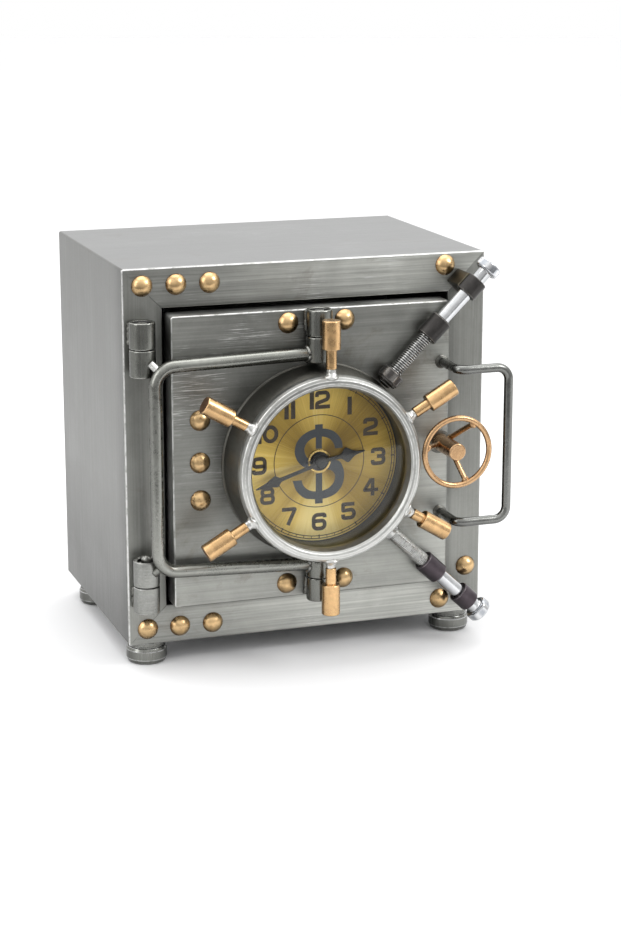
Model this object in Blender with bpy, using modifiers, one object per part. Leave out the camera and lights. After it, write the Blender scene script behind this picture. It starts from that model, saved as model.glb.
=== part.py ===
# Toy safe coin bank with a clock in its door, built as an assembly of separate pieces.
#
# Layout frame used while designing (millimetres):
#   x : to the right, zero at the middle of the case
#   h : forward, zero on the front face of the front frame
#   z : up, zero on the underside of the case
# P(x, h, z) turns a layout point into the row frame (metres, +Z up, front towards -Y,
# origin at the middle of the object's box on the surface it stands on).
import bpy
import bmesh
import math
from mathutils import Vector, Matrix

# ----------------------------------------------------------------- driving dimensions (mm)
CASE_W = 205.0          # case width
CASE_H = 206.3          # case height without feet
CASE_D = 148.0          # case depth, front frame to back panel
SHEET = 1.5             # case sheet thickness
FRAME_T = 2.0           # front frame plate thickness
OPEN_X = 81.2           # half width of the door opening
OPEN_Z0, OPEN_Z1 = 21.3, 184.9
FOOT_H = 13.0
FOOT_R = 11.2
FOOT_INSET = 13.0
REAR_INSET = 23.0       # the rear feet stand further in from the back
GAP = 0.3               # clearance between touching pieces

DOOR_X0, DOOR_X1 = -79.2, 78.4
DOOR_Z0, DOOR_Z1 = 22.3, 181.8
DOOR_H = 10.0           # front face of the door
DOOR_BACK = -4.0        # rear edge of the door's flanges
DOOR_T = 1.5

HINGE_X, HINGE_H = -94.0, 7.3      # crane hinge axis
PIVOT_X, PIVOT_H = 0.5, 17.3       # door pivot axis
KNUCKLE_R = 7.0
PIN_R = 3.0
BORE_R = 3.25
SPLIT = 0.5             # running gap between two knuckles

ARM_R = 3.5             # crane arm rod radius
ARM_X, ARM_H = -90.0, 17.3

DRUM_X, DRUM_Z = 1.3, 98.9         # clock axis
DRUM_R0, DRUM_R1 = 53.5, 50.2      # housing radius at the door and behind the ring
DRUM_H1 = 30.5
RING_RO, RING_RI = 51.2, 43.7
RING_H0, RING_H1 = 30.8, 38.4
DIAL_R = 44.6
DIAL_H = 15.0

PEG_H = 34.4
WHEEL_X, WHEEL_Z, WHEEL_H = 73.0, 103.2, 36.0
HANDLE_X0, HANDLE_X1 = 73.9, 103.0
HANDLE_Z0, HANDLE_Z1, HANDLE_H = 63.0, 148.0, 35.0
HANDLE_R = 2.65

BOLT_H = 16.3
BOLT_X, BOLT_Z = -2.7, 98.9        # both bolt axes point at this place
BOLT_R = 3.95

# the origin is the middle of the whole object's box, on the floor: the box runs from
# x = -CASE_W / 2 to the handle's outer side and from h = -CASE_D to h = H_FRONT
X0 = 1.575
H_FRONT = 39.4

COLL_NAME = "toy_safe_coin_bank"


def P(x, h, z):
    return Vector(((x - X0) / 1000.0,
                   (-h + (H_FRONT - CASE_D) / 2.0) / 1000.0,
                   (z + FOOT_H) / 1000.0))


def V(dx, dh, dz):
    """A direction in the layout frame turned into the row frame."""
    return Vector((dx, -dh, dz))


# ----------------------------------------------------------------- clean start
for o in list(bpy.data.objects):
    bpy.data.objects.remove(o, do_unlink=True)
for c in list(bpy.data.collections):
    bpy.data.collections.remove(c)

COLL = bpy.data.collections.new(COLL_NAME)
CUT = bpy.data.collections.new("cutters")
bpy.context.scene.collection.children.link(COLL)
bpy.context.scene.collection.children.link(CUT)


# ----------------------------------------------------------------- materials
def hex_lin(h):
    v = []
    for i in (0, 2, 4):
        c = int(h[i:i + 2], 16) / 255.0
        v.append(c / 12.92 if c <= 0.04045 else ((c + 0.055) / 1.055) ** 2.4)
    return (v[0], v[1], v[2], 1.0)


FINISH = {
    "gunmetal": ("8a8b88", 0.42, 1.0),
    "dark_steel": ("6c6d6a", 0.40, 1.0),
    "ring_steel": ("b8b9b6", 0.30, 1.0),
    "brass": ("c79a55", 0.25, 1.0),
    "copper": ("cf9560", 0.35, 1.0),
    "bright_zinc": ("d2d4d6", 0.20, 1.0),
    "black_steel": ("2c2c2d", 0.45, 0.6),
    "gold_dial": ("c7a045", 0.40, 1.0),
    "black_paint": ("33353a", 0.5, 0.0),
    "glass": ("e8eeee", 0.05, 0.0),
    "black_plastic": ("1d1d1f", 0.55, 0.0),
    "battery": ("b06b2c", 0.35, 0.3),
}


def make_material(node, finish):
    m = bpy.data.materials.new(node + "_mat")
    m.use_nodes = True
    b = m.node_tree.nodes["Principled BSDF"]
    col, rough, metal = FINISH[finish]
    b.inputs["Base Color"].default_value = hex_lin(col)
    b.inputs["Roughness"].default_value = rough
    b.inputs["Metallic"].default_value = metal
    m.diffuse_color = hex_lin(col)
    return m


# ----------------------------------------------------------------- helpers
def place(name, mesh, finish=None, loc=None, rot=None, coll=None, parent=None):
    o = bpy.data.objects.new(name, mesh)
    (coll or COLL).objects.link(o)
    m = Matrix.Identity(4)
    if rot is not None:
        m = rot.to_4x4()
    m.translation = loc if loc is not None else Vector((0, 0, 0))
    o.matrix_world = m
    if finish:
        mesh.materials.clear()
        mesh.materials.append(make_material(name, finish))
    if parent is not None:
        bpy.context.view_layer.update()
        o.parent = parent
        o.matrix_parent_inverse = parent.matrix_world.inverted()
    return o


def cutter_from(mesh, name, loc=None, rot=None):
    o = place(name, mesh, None, loc, rot, CUT)
    o.hide_render = True
    o.display_type = 'WIRE'
    return o


def smooth(mesh, angle=35.0):
    mesh.shade_smooth()
    mesh.set_sharp_from_angle(angle=math.radians(angle))


def basis_z(direction, up=None):
    """Rotation whose local Z points along direction."""
    z = direction.normalized()
    ref = up if up is not None else Vector((0, 0, 1))
    if abs(z.dot(ref.normalized())) > 0.999:
        ref = Vector((1, 0, 0))
    x = ref.cross(z).normalized()
    y = z.cross(x).normalized()
    return Matrix((x, y, z)).transposed()


def box_mesh(name, size, bevel=0.0, segs=2, edge_filter=None):
    """A box centred on its own origin; size in mm; optional bevel of chosen edges."""
    bm = bmesh.new()
    bmesh.ops.create_cube(bm, size=1.0)
    bmesh.ops.scale(bm, vec=Vector(size) / 1000.0, verts=bm.verts)
    if bevel > 0:
        edges = [e for e in bm.edges if edge_filter is None or edge_filter(e)]
        bmesh.ops.bevel(bm, geom=edges, offset=bevel / 1000.0, segments=segs,
                        affect='EDGES', profile=0.5, clamp_overlap=True)
    bmesh.ops.recalc_face_normals(bm, faces=bm.faces)
    me = bpy.data.meshes.new(name)
    bm.to_mesh(me)
    bm.free()
    return me


def cyl_mesh(name, r, length, segs=24, r2=None):
    """A cylinder or cone along local Z, from z=0 to z=length (mm)."""
    bm = bmesh.new()
    bmesh.ops.create_cone(bm, cap_ends=True, segments=segs, radius1=r / 1000.0,
                          radius2=(r if r2 is None else r2) / 1000.0, depth=length / 1000.0)
    bmesh.ops.translate(bm, vec=(0, 0, length / 2000.0), verts=bm.verts)
    bmesh.ops.recalc_face_normals(bm, faces=bm.faces)
    me = bpy.data.meshes.new(name)
    bm.to_mesh(me)
    bm.free()
    return me


def box_layout(name, x0, x1, h0, h1, z0, z1, bevel=0.0, segs=2, edge_filter=None):
    """Box mesh and centre for layout limits."""
    me = box_mesh(name, (x1 - x0, h1 - h0, z1 - z0), bevel, segs, edge_filter)
    return me, P((x0 + x1) / 2, (h0 + h1) / 2, (z0 + z1) / 2)


def boolean(obj, other, op='DIFFERENCE'):
    m = obj.modifiers.new(op.lower() + "_" + other.name[:20], 'BOOLEAN')
    m.operation = op
    m.object = other
    m.solver = 'EXACT'
    return m


def lathe(name, profile, finish, loc, rot, steps=24, closed=False, coll=None, parent=None):
    """A turned piece: the profile [(r, z), ...] in mm runs down its outer side.
    It is turned about local Z by a Screw modifier."""
    me = bpy.data.meshes.new(name)
    bm = bmesh.new()
    vs = [bm.verts.new((r / 1000.0, 0.0, z / 1000.0)) for r, z in profile]
    n = len(vs)
    for i in range(n - 1 + (1 if closed else 0)):
        bm.edges.new((vs[i], vs[(i + 1) % n]))
    bm.to_mesh(me)
    bm.free()
    o = place(name, me, finish, loc, rot, coll, parent)
    s = o.modifiers.new("turn", 'SCREW')
    s.axis = 'Z'
    s.angle = math.radians(360.0)
    s.steps = steps
    s.render_steps = steps
    s.use_merge_vertices = True
    s.merge_threshold = 0.000001
    s.use_smooth_shade = True
    if coll is CUT:
        o.hide_render = True
        o.display_type = 'WIRE'
    return o


def arc_points(path, radii, steps=6):
    """Round the inner corners of a 3-D polyline (mm) with the given radii."""
    out = [Vector(path[0])]
    for i in range(1, len(path) - 1):
        a, b, c = Vector(path[i - 1]), Vector(path[i]), Vector(path[i + 1])
        u = (a - b).normalized()
        v = (c - b).normalized()
        ang = math.acos(max(-1.0, min(1.0, u.dot(v))))
        r = radii[i - 1]
        t = r / math.tan(ang / 2)
        centre = b + (u + v).normalized() * (r / math.sin(ang / 2))
        p0, p1 = b + u * t, b + v * t
        w0, w1 = (p0 - centre), (p1 - centre)
        total = math.acos(max(-1.0, min(1.0, w0.normalized().dot(w1.normalized()))))
        for k in range(steps + 1):
            s = k / steps
            w = (w0 * math.sin((1 - s) * total) + w1 * math.sin(s * total)) / math.sin(total)
            out.append(centre + w)
    out.append(Vector(path[-1]))
    return out


def rod(name, layout_pts, radius, finish, bevel_res=3, parent=None, coll=None):
    """A bent rod: a POLY curve with a round bevel, made a mesh with welded caps."""
    cu = bpy.data.curves.new(name + "_curve", 'CURVE')
    cu.dimensions = '3D'
    cu.bevel_depth = radius / 1000.0
    cu.bevel_resolution = bevel_res
    cu.use_fill_caps = True
    cu.render_resolution_u = 0
    sp = cu.splines.new('POLY')
    sp.points.add(len(layout_pts) - 1)
    for i, q in enumerate(layout_pts):
        w = P(q[0], q[1], q[2])
        sp.points[i].co = (w.x, w.y, w.z, 1.0)
    tmp = bpy.data.objects.new(name + "_tmp", cu)
    CUT.objects.link(tmp)
    bpy.context.view_layer.update()
    dg = bpy.context.evaluated_depsgraph_get()
    me = bpy.data.meshes.new_from_object(tmp.evaluated_get(dg))
    bm = bmesh.new()
    bm.from_mesh(me)
    bmesh.ops.remove_doubles(bm, verts=bm.verts, dist=0.00001)
    bmesh.ops.recalc_face_normals(bm, faces=bm.faces)
    bm.to_mesh(me)
    bm.free()
    mw = tmp.matrix_world.copy()
    bpy.data.objects.remove(tmp, do_unlink=True)
    bpy.data.curves.remove(cu)
    me.name = name
    o = place(name, me, finish, mw.translation, None, coll, parent)
    smooth(me, 50)
    return o


def empty(name, loc, parent=None):
    e = bpy.data.objects.new(name, None)
    e.empty_display_size = 0.01
    COLL.objects.link(e)
    e.matrix_world = Matrix.Translation(loc)
    if parent is not None:
        bpy.context.view_layer.update()
        e.parent = parent
        e.matrix_parent_inverse = parent.matrix_world.inverted()
    return e


ROT_UP = Matrix.Identity(3)
ROT_FWD = basis_z(V(0, 1, 0))          # local Z points forward (towards -Y)

# ----------------------------------------------------------------- joint axes
crane_axis = empty("crane_axis", P(HINGE_X, HINGE_H, 100))
pivot_axis = empty("pivot_axis", P(PIVOT_X, PIVOT_H, 100), crane_axis)
wheel_axis = empty("wheel_axis", P(WHEEL_X, WHEEL_H, WHEEL_Z), pivot_axis)
clock_axis = empty("clock_axis", P(DRUM_X, DIAL_H, DRUM_Z), pivot_axis)

# ================================================================= case
# sheet tube, open at the front and at the back
bm = bmesh.new()
bmesh.ops.create_cube(bm, size=1.0)
sh0, sh1 = -CASE_D + 1.8 + GAP, -FRAME_T - GAP
bmesh.ops.scale(bm, vec=Vector((CASE_W, sh1 - sh0, CASE_H)) / 1000.0, verts=bm.verts)
long_edges = [e for e in bm.edges
              if abs((e.verts[0].co - e.verts[1].co).normalized().y) > 0.9]
bmesh.ops.bevel(bm, geom=long_edges, offset=0.0012, segments=2, affect='EDGES', profile=0.5)
ends = [f for f in bm.faces if abs(f.normal.y) > 0.9]
bmesh.ops.delete(bm, geom=ends, context='FACES')
me = bpy.data.meshes.new("case_shell")
bm.to_mesh(me)
bm.free()
case_shell = place("case_shell", me, "gunmetal", P(0, (sh0 + sh1) / 2, CASE_H / 2))
sol = case_shell.modifiers.new("sheet", 'SOLIDIFY')
sol.thickness = SHEET / 1000.0
sol.offset = -1.0
sol.use_even_offset = True

# back panel with the coin slot
me, c = box_layout("back_panel", -CASE_W / 2, CASE_W / 2, -CASE_D, -CASE_D + 1.8, 0, CASE_H,
                   1.0, 2, lambda e: abs((e.verts[0].co - e.verts[1].co).normalized().y) > 0.9)
back_panel = place("back_panel", me, "gunmetal", c)
SLOT_W, SLOT_T, SLOT_Z = 38.0, 6.0, 170.0
me, c = box_layout("slot_cut", -SLOT_W / 2, SLOT_W / 2, -CASE_D - 3, -CASE_D + 5,
                   SLOT_Z - SLOT_T / 2, SLOT_Z + SLOT_T / 2, 2.6, 3,
                   lambda e: abs((e.verts[0].co - e.verts[1].co).normalized().y) > 0.9)
boolean(back_panel, cutter_from(me, "slot_cut", c))

# front frame: four mitred strips around the door opening
me, c = box_layout("front_frame", -CASE_W / 2, CASE_W / 2, -FRAME_T, 0, 0, CASE_H, 0.9, 2,
                   lambda e: (e.verts[0].co.y < 0 and e.verts[1].co.y < 0)
                   or abs((e.verts[0].co - e.verts[1].co).normalized().y) > 0.9)
front_frame = place("front_frame", me, "gunmetal", c)
me, c = box_layout("opening_cut", -OPEN_X, OPEN_X, -FRAME_T - 3, 3, OPEN_Z0, OPEN_Z1)
boolean(front_frame, cutter_from(me, "opening_cut", c))
# mitre lines: one shallow groove from each outer corner to each inner corner
for i, (cx, cz, ix, iz) in enumerate(((-1, 0, -OPEN_X, OPEN_Z0), (1, 0, OPEN_X, OPEN_Z0),
                                      (-1, 1, -OPEN_X, OPEN_Z1), (1, 1, OPEN_X, OPEN_Z1))):
    ox, oz = cx * CASE_W / 2, cz * CASE_H
    d = Vector((ix - ox, 0, iz - oz))
    g = box_mesh("mitre_cut_%d" % i, (d.length + 6.0, 1.0, 0.5))
    rot = Matrix((d.normalized(), Vector((0, 1, 0)), d.normalized().cross(Vector((0, 1, 0))))).transposed()
    boolean(front_frame, cutter_from(g, "mitre_cut_%d" % i, P((ox + ix) / 2, 0.1, (oz + iz) / 2), rot))

# turned feet
foot_profile = [(0, -GAP), (9.6, -GAP), (FOOT_R - 0.5, -GAP), (FOOT_R, -0.8), (FOOT_R, -2.2),
                (FOOT_R - 1.3, -2.6), (FOOT_R - 1.3, -3.4), (FOOT_R, -3.9), (FOOT_R, -11.2),
                (FOOT_R - 0.6, -12.5), (FOOT_R - 1.8, -13.0), (0, -13.0)]
for nm, fx, fh in (("foot_front_left", -1, 0), ("foot_front_right", 1, 0),
                   ("foot_rear_left", -1, 1), ("foot_rear_right", 1, 1)):
    hx = fx * (CASE_W / 2 - FOOT_INSET)
    hh = -FOOT_INSET if fh == 0 else -CASE_D + REAR_INSET
    lathe(nm, foot_profile, "dark_steel", P(hx, hh, 0), ROT_UP, 24)

# dome-headed rivets
RIVET_R, RIVET_H = 5.7, 3.8


def dome_profile(r, hgt, base, rings=4):
    rs = (r * r + hgt * hgt) / (2 * hgt)
    a_max = math.asin(min(1.0, r / rs))
    pts = [(0.0, base + hgt)]
    for k in range(1, rings + 1):
        a = a_max * k / rings
        pts.append((rs * math.sin(a), base + hgt - rs + rs * math.cos(a)))
    pts[-1] = (r, base + 0.35)
    pts.append((r, base))
    pts.append((0.0, base))
    return pts


frame_rivets = {
    "frame_rivet_top_left_1": (-91.8, 197.2), "frame_rivet_top_left_2": (-73.3, 197.2),
    "frame_rivet_top_left_3": (-54.9, 197.2), "frame_rivet_bottom_left_1": (-91.9, 8.8),
    "frame_rivet_bottom_left_2": (-73.8, 8.8), "frame_rivet_bottom_left_3": (-55.2, 8.8),
    "frame_rivet_top_right": (79.2, 199.6), "frame_rivet_bottom_right_1": (94.1, 26.8),
    "frame_rivet_bottom_right_2": (78.5, 8.9)}
for nm, (rx, rz) in frame_rivets.items():
    lathe(nm, dome_profile(RIVET_R, RIVET_H, GAP), "brass", P(rx, 0, rz), ROT_FWD, 16)

door_rivets = [(-14.5, 174.8), (17.4, 174.8), (-15.6, 30.2), (17.0, 30.2),
               (-63.9, 125.2), (-64.2, 102.0), (-64.1, 81.2)]
for i, (rx, rz) in enumerate(door_rivets):
    lathe("door_rivet_%d" % (i + 1), dome_profile(RIVET_R, RIVET_H, GAP), "brass",
          P(rx, DOOR_H, rz), ROT_FWD, 16, parent=pivot_axis)


# ================================================================= hinges
def pin_knuckle(name, z_far, z_split, pin_end, x, h, parent):
    """A knuckle with its pin. z_far is its outer end, z_split the end that faces the other
    knuckle, pin_end where the pin stops inside that knuckle."""
    s = 1 if z_far > z_split else -1
    a = z_far
    pts = [(0, a - s * 1.2), (PIN_R - 0.6, a - s * 1.2), (PIN_R, a - s * 1.8), (PIN_R, a - s * 2.6),
           (5.0, a - s * 2.6), (5.0, a - s * 0.3), (5.4, a), (6.5, a), (KNUCKLE_R, a - s * 0.5),
           (KNUCKLE_R, z_split + s * 0.4), (KNUCKLE_R - 0.4, z_split), (PIN_R, z_split),
           (PIN_R, pin_end + s * 0.4), (PIN_R - 0.4, pin_end), (0, pin_end)]
    if s < 0:
        pts = list(reversed(pts))
    return lathe(name, [(r, z) for r, z in pts], "dark_steel", P(x, h, 0), ROT_UP, 20, parent=parent)


def bored_knuckle(name, z_far, z_split, x, h, parent, recess=2.6):
    """A bored knuckle that turns on the other one's pin."""
    s = 1 if z_far > z_split else -1
    a = z_far
    pts = [(BORE_R, a - s * recess), (5.0, a - s * recess), (5.0, a - s * 0.3), (5.4, a), (6.5, a),
           (KNUCKLE_R, a - s * 0.5), (KNUCKLE_R, z_split + s * 0.4), (KNUCKLE_R - 0.4, z_split),
           (BORE_R, z_split)]
    if s < 0:
        pts = list(reversed(pts))
    return lathe(name, pts, "dark_steel", P(x, h, 0), ROT_UP, 20, closed=True, parent=parent)


# crane hinge on the left strip of the frame
HU_TOP, HU_SPLIT, HU_BOT = 179.8, 165.3, 150.5
HL_TOP, HL_SPLIT, HL_BOT = 50.2, 35.9, 21.2
pin_knuckle("hinge_upper_fixed_knuckle", HU_TOP, HU_SPLIT + SPLIT / 2, HU_BOT + 1.0, HINGE_X, HINGE_H, None)
bored_knuckle("hinge_upper_arm_knuckle", HU_BOT, HU_SPLIT - SPLIT / 2, HINGE_X, HINGE_H, crane_axis)
pin_knuckle("hinge_lower_fixed_knuckle", HL_BOT, HL_SPLIT - SPLIT / 2, HL_TOP - 4.0, HINGE_X, HINGE_H, None)
bored_knuckle("hinge_lower_arm_knuckle", HL_TOP, HL_SPLIT + SPLIT / 2, HINGE_X, HINGE_H, crane_axis)

# centre pivots between the arm and the door
PU_TOP, PU_SPLIT, PU_BOT = 182.8, 168.4, 154.4
PL_TOP, PL_SPLIT, PL_BOT = 44.7, 35.0, 21.8
pin_knuckle("pivot_upper_door_knuckle", PU_TOP, PU_SPLIT + SPLIT / 2, PU_BOT + 1.0, PIVOT_X, PIVOT_H, pivot_axis)
bored_knuckle("pivot_upper_arm_knuckle", PU_BOT, PU_SPLIT - SPLIT / 2, PIVOT_X, PIVOT_H, crane_axis)
pin_knuckle("pivot_lower_door_knuckle", PL_BOT, PL_SPLIT - SPLIT / 2, PL_TOP - 3.2, PIVOT_X, PIVOT_H, pivot_axis)
bored_knuckle("pivot_lower_arm_knuckle", PL_TOP, PL_SPLIT + SPLIT / 2, PIVOT_X, PIVOT_H, crane_axis)

# ================================================================= crane arm
ARM_ZT0, ARM_ZT1 = 156.6, 158.9     # top run: at the hinge side, at the pivot side
ARM_ZB0, ARM_ZB1 = 45.6, 42.2       # bottom run
arm_path = arc_points([(PIVOT_X - 1.0, ARM_H, ARM_ZT1), (ARM_X, ARM_H, ARM_ZT0),
                       (ARM_X, ARM_H, ARM_ZB0), (PIVOT_X - 1.0, ARM_H, ARM_ZB1)], [11.0, 11.0], 7)
crane_arm = rod("crane_arm", arm_path, ARM_R, "dark_steel", 3, crane_axis)
# short stubs from the two bends to the hinge knuckles
for i, (p0, p1) in enumerate((((-93.0, 11.0, 160.2), (-86.9, ARM_H, 153.3)),
                              ((-93.0, 11.0, 42.0), (-86.9, ARM_H, 48.9)))):
    a, b = P(*p0), P(*p1)
    st = cutter_from(cyl_mesh("arm_stub_%d" % i, 2.3, (b - a).length * 1000.0, 14),
                     "arm_stub_%d" % i, a, basis_z(b - a))
    boolean(crane_arm, st, 'UNION')
kc = cutter_from(cyl_mesh("arm_hinge_cut", KNUCKLE_R + GAP, 170.0, 48), "arm_hinge_cut",
                 P(HINGE_X, HINGE_H, 15.0), ROT_UP)
boolean(crane_arm, kc)
kc = cutter_from(cyl_mesh("arm_pivot_cut", KNUCKLE_R + GAP, 190.0, 48), "arm_pivot_cut",
                 P(PIVOT_X, PIVOT_H, 5.0), ROT_UP)
boolean(crane_arm, kc)

# ================================================================= door
# pressed pan: front plate and four flanges
me, c = box_layout("door_panel", DOOR_X0, DOOR_X1, DOOR_BACK, DOOR_H, DOOR_Z0, DOOR_Z1, 0.9, 2,
                   lambda e: (e.verts[0].co.y < 0 and e.verts[1].co.y < 0)
                   or abs((e.verts[0].co - e.verts[1].co).normalized().y) > 0.9)
door_panel = place("door_panel", me, "gunmetal", c, parent=pivot_axis)
me, c = box_layout("door_hollow_cut", DOOR_X0 + DOOR_T, DOOR_X1 - DOOR_T, DOOR_BACK - 5.0,
                   DOOR_H - DOOR_T, DOOR_Z0 + DOOR_T, DOOR_Z1 - DOOR_T)
boolean(door_panel, cutter_from(me, "door_hollow_cut", c))
MOVE = 28.0                        # half size of the square clock movement
me, c = box_layout("door_window_cut", DRUM_X - MOVE - 1.5, DRUM_X + MOVE + 1.5, 5, 14,
                   DRUM_Z - MOVE - 1.5, DRUM_Z + MOVE + 1.5)
boolean(door_panel, cutter_from(me, "door_window_cut", c))
SPINDLE_R = 2.5
sc = cutter_from(cyl_mesh("spindle_cut", SPINDLE_R + 0.4, 30.0, 24), "spindle_cut",
                 P(WHEEL_X, -15.0, WHEEL_Z), ROT_FWD)
boolean(door_panel, sc)

# back cover of the door, with a window for the clock movement
me, c = box_layout("door_back_cover", DOOR_X0 + DOOR_T + GAP, DOOR_X1 - DOOR_T - GAP, -3.8, -2.3,
                   DOOR_Z0 + DOOR_T + GAP, DOOR_Z1 - DOOR_T - GAP)
door_back_cover = place("door_back_cover", me, "dark_steel", c, parent=pivot_axis)
me, c = box_layout("cover_window_cut", DRUM_X - MOVE - 1.5, DRUM_X + MOVE + 1.5, -8, 2,
                   DRUM_Z - MOVE - 1.5, DRUM_Z + MOVE + 1.5)
boolean(door_back_cover, cutter_from(me, "cover_window_cut", c))
boolean(door_back_cover, sc)

# ================================================================= clock
# housing: a turned wall that tapers towards the ring, with a ledge under the dial
HOUSING_RI = 45.0
hp = [(DRUM_R0 - 0.3, DOOR_H + GAP), (DRUM_R0, DOOR_H + GAP + 0.3), (DRUM_R0, DOOR_H + GAP + 1.0),
      (DRUM_R0 - 0.5, DOOR_H + GAP + 1.4), (DRUM_R1, DRUM_H1)]
hp = list(reversed(hp))
hp = hp + [(42.8, DOOR_H + GAP), (42.8, DIAL_H - 0.8 - GAP), (HOUSING_RI, DIAL_H - 0.8 - GAP),
           (HOUSING_RI, DRUM_H1)]
lathe("dial_housing", hp, "dark_steel", P(DRUM_X, 0, DRUM_Z), ROT_FWD, 64, closed=True,
      parent=pivot_axis)

# bezel ring with six welding studs
rc, ra = (RING_RO + RING_RI) / 2, (RING_RO - RING_RI) / 2
hc, hb = (RING_H0 + RING_H1) / 2, (RING_H1 - RING_H0) / 2
ring_profile = []
for k in range(12):
    a = math.pi / 2 - 2 * math.pi * k / 12 - math.pi / 12
    ca, sa = math.cos(a), math.sin(a)
    e = 0.8
    ring_profile.append((rc + ra * math.copysign(abs(ca) ** e, ca),
                         hc + hb * math.copysign(abs(sa) ** e, sa)))
bezel = lathe("bezel_ring", ring_profile, "ring_steel", P(DRUM_X, 0, DRUM_Z), ROT_FWD, 64,
              closed=True, parent=pivot_axis)
for k in range(6):
    a = math.radians(90 - 60 * k)
    d = V(math.cos(a), 0, math.sin(a))
    at = P(DRUM_X + 49.0 * math.cos(a), PEG_H, DRUM_Z + 49.0 * math.sin(a))
    st = cutter_from(cyl_mesh("ring_stud_%d" % k, 3.0, 5.3, 14, 1.9), "ring_stud_%d" % k, at, basis_z(d))
    boolean(bezel, st, 'UNION')

# glass
lathe("clock_glass", [(0, 30.4), (44.3, 30.4), (44.7, 30.0), (44.7, 29.4), (44.3, 29.0), (0, 29.0)],
      "glass", P(DRUM_X, 0, DRUM_Z), ROT_FWD, 64, parent=pivot_axis)

# dial plate with a centre hole
lathe("dial_plate", [(3.2, DIAL_H), (DIAL_R, DIAL_H), (DIAL_R, DIAL_H - 0.8), (3.2, DIAL_H - 0.8)],
      "gold_dial", P(DRUM_X, 0, DRUM_Z), ROT_FWD, 64, closed=True, parent=pivot_axis)

# quartz movement: square box with a bored shaft and a battery bay
MOVE_H0, MOVE_H1 = -3.0, 13.7
me, c = box_layout("clock_movement", DRUM_X - MOVE, DRUM_X + MOVE, MOVE_H0, MOVE_H1,
                   DRUM_Z - MOVE, DRUM_Z + MOVE, 1.2, 2)
movement = place("clock_movement", me, "black_plastic", c, parent=pivot_axis)
boolean(movement, cutter_from(cyl_mesh("movement_shaft", 2.6, 10.5, 20), "movement_shaft",
                              P(DRUM_X, 7.4, DRUM_Z), ROT_FWD), 'UNION')
boolean(movement, cutter_from(cyl_mesh("movement_bore", 1.6, 40.0, 20), "movement_bore",
                              P(DRUM_X, -10.0, DRUM_Z), ROT_FWD))
me, c = box_layout("battery_bay_cut", DRUM_X - 26.2, DRUM_X + 26.2, -8.0, MOVE_H1 - 1.6,
                   DRUM_Z - 25.0, DRUM_Z - 9.6)
boolean(movement, cutter_from(me, "battery_bay_cut", c))

# round battery cell lying in the bay
bx = -25.3
lathe("battery_cell", [(0, 50.3), (2.7, 50.3), (2.7, 49.2), (6.6, 49.2), (7.1, 48.7), (7.1, 0.5),
                       (6.6, 0.0), (0, 0.0)], "battery",
      P(DRUM_X + bx, 4.6, DRUM_Z - 17.3), basis_z(V(1, 0, 0)), 20, parent=pivot_axis)

# time-setting knob at the back of the movement
lathe("time_set_knob", [(0, -GAP + MOVE_H0), (5.2, -GAP + MOVE_H0), (5.5, -0.6 + MOVE_H0),
                        (5.5, -3.4 + MOVE_H0), (5.0, -3.9 + MOVE_H0), (0, -3.9 + MOVE_H0)],
      "black_plastic", P(DRUM_X, 0, DRUM_Z), ROT_FWD, 20, parent=clock_axis)


# clock hands: flat spade shapes
def hand(name, outline, hub_r, hole_r, h_mid, thick, angle_deg, finish):
    """A flat hand: half outline [(along, half width), ...] mirrored about its middle line,
    swept by extrude, and joined to a round hub. The angle is clockwise from twelve."""
    a = math.radians(angle_deg)
    up = V(math.sin(a), 0, math.cos(a))
    rot = Matrix((V(0, 1, 0).cross(up) * -1.0, up, V(0, 1, 0))).transposed()
    if rot.determinant() < 0:
        rot = Matrix((V(0, 1, 0).cross(up), up, V(0, 1, 0))).transposed()
    cu = bpy.data.curves.new(name + "_outline", 'CURVE')
    cu.dimensions = '2D'
    cu.fill_mode = 'BOTH'
    cu.extrude = thick / 2000.0
    cu.render_resolution_u = 0
    pts = [(-w, t) for t, w in outline] + [(w, t) for t, w in reversed(outline) if w > 0]
    sp = cu.splines.new('POLY')
    sp.points.add(len(pts) - 1)
    for i, (u, v) in enumerate(pts):
        sp.points[i].co = (u / 1000.0, v / 1000.0, 0, 1)
    sp.use_cyclic_u = True
    tmp = bpy.data.objects.new(name + "_tmp", cu)
    CUT.objects.link(tmp)
    bpy.context.view_layer.update()
    dg = bpy.context.evaluated_depsgraph_get()
    me = bpy.data.meshes.new_from_object(tmp.evaluated_get(dg))
    bm = bmesh.new()
    bm.from_mesh(me)
    bmesh.ops.remove_doubles(bm, verts=bm.verts, dist=0.000005)
    bmesh.ops.recalc_face_normals(bm, faces=bm.faces)
    bm.to_mesh(me)
    bm.free()
    bpy.data.objects.remove(tmp, do_unlink=True)
    bpy.data.curves.remove(cu)
    me.name = name
    o = place(name, me, finish, P(DRUM_X, h_mid, DRUM_Z), rot, parent=clock_axis)
    return o


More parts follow.
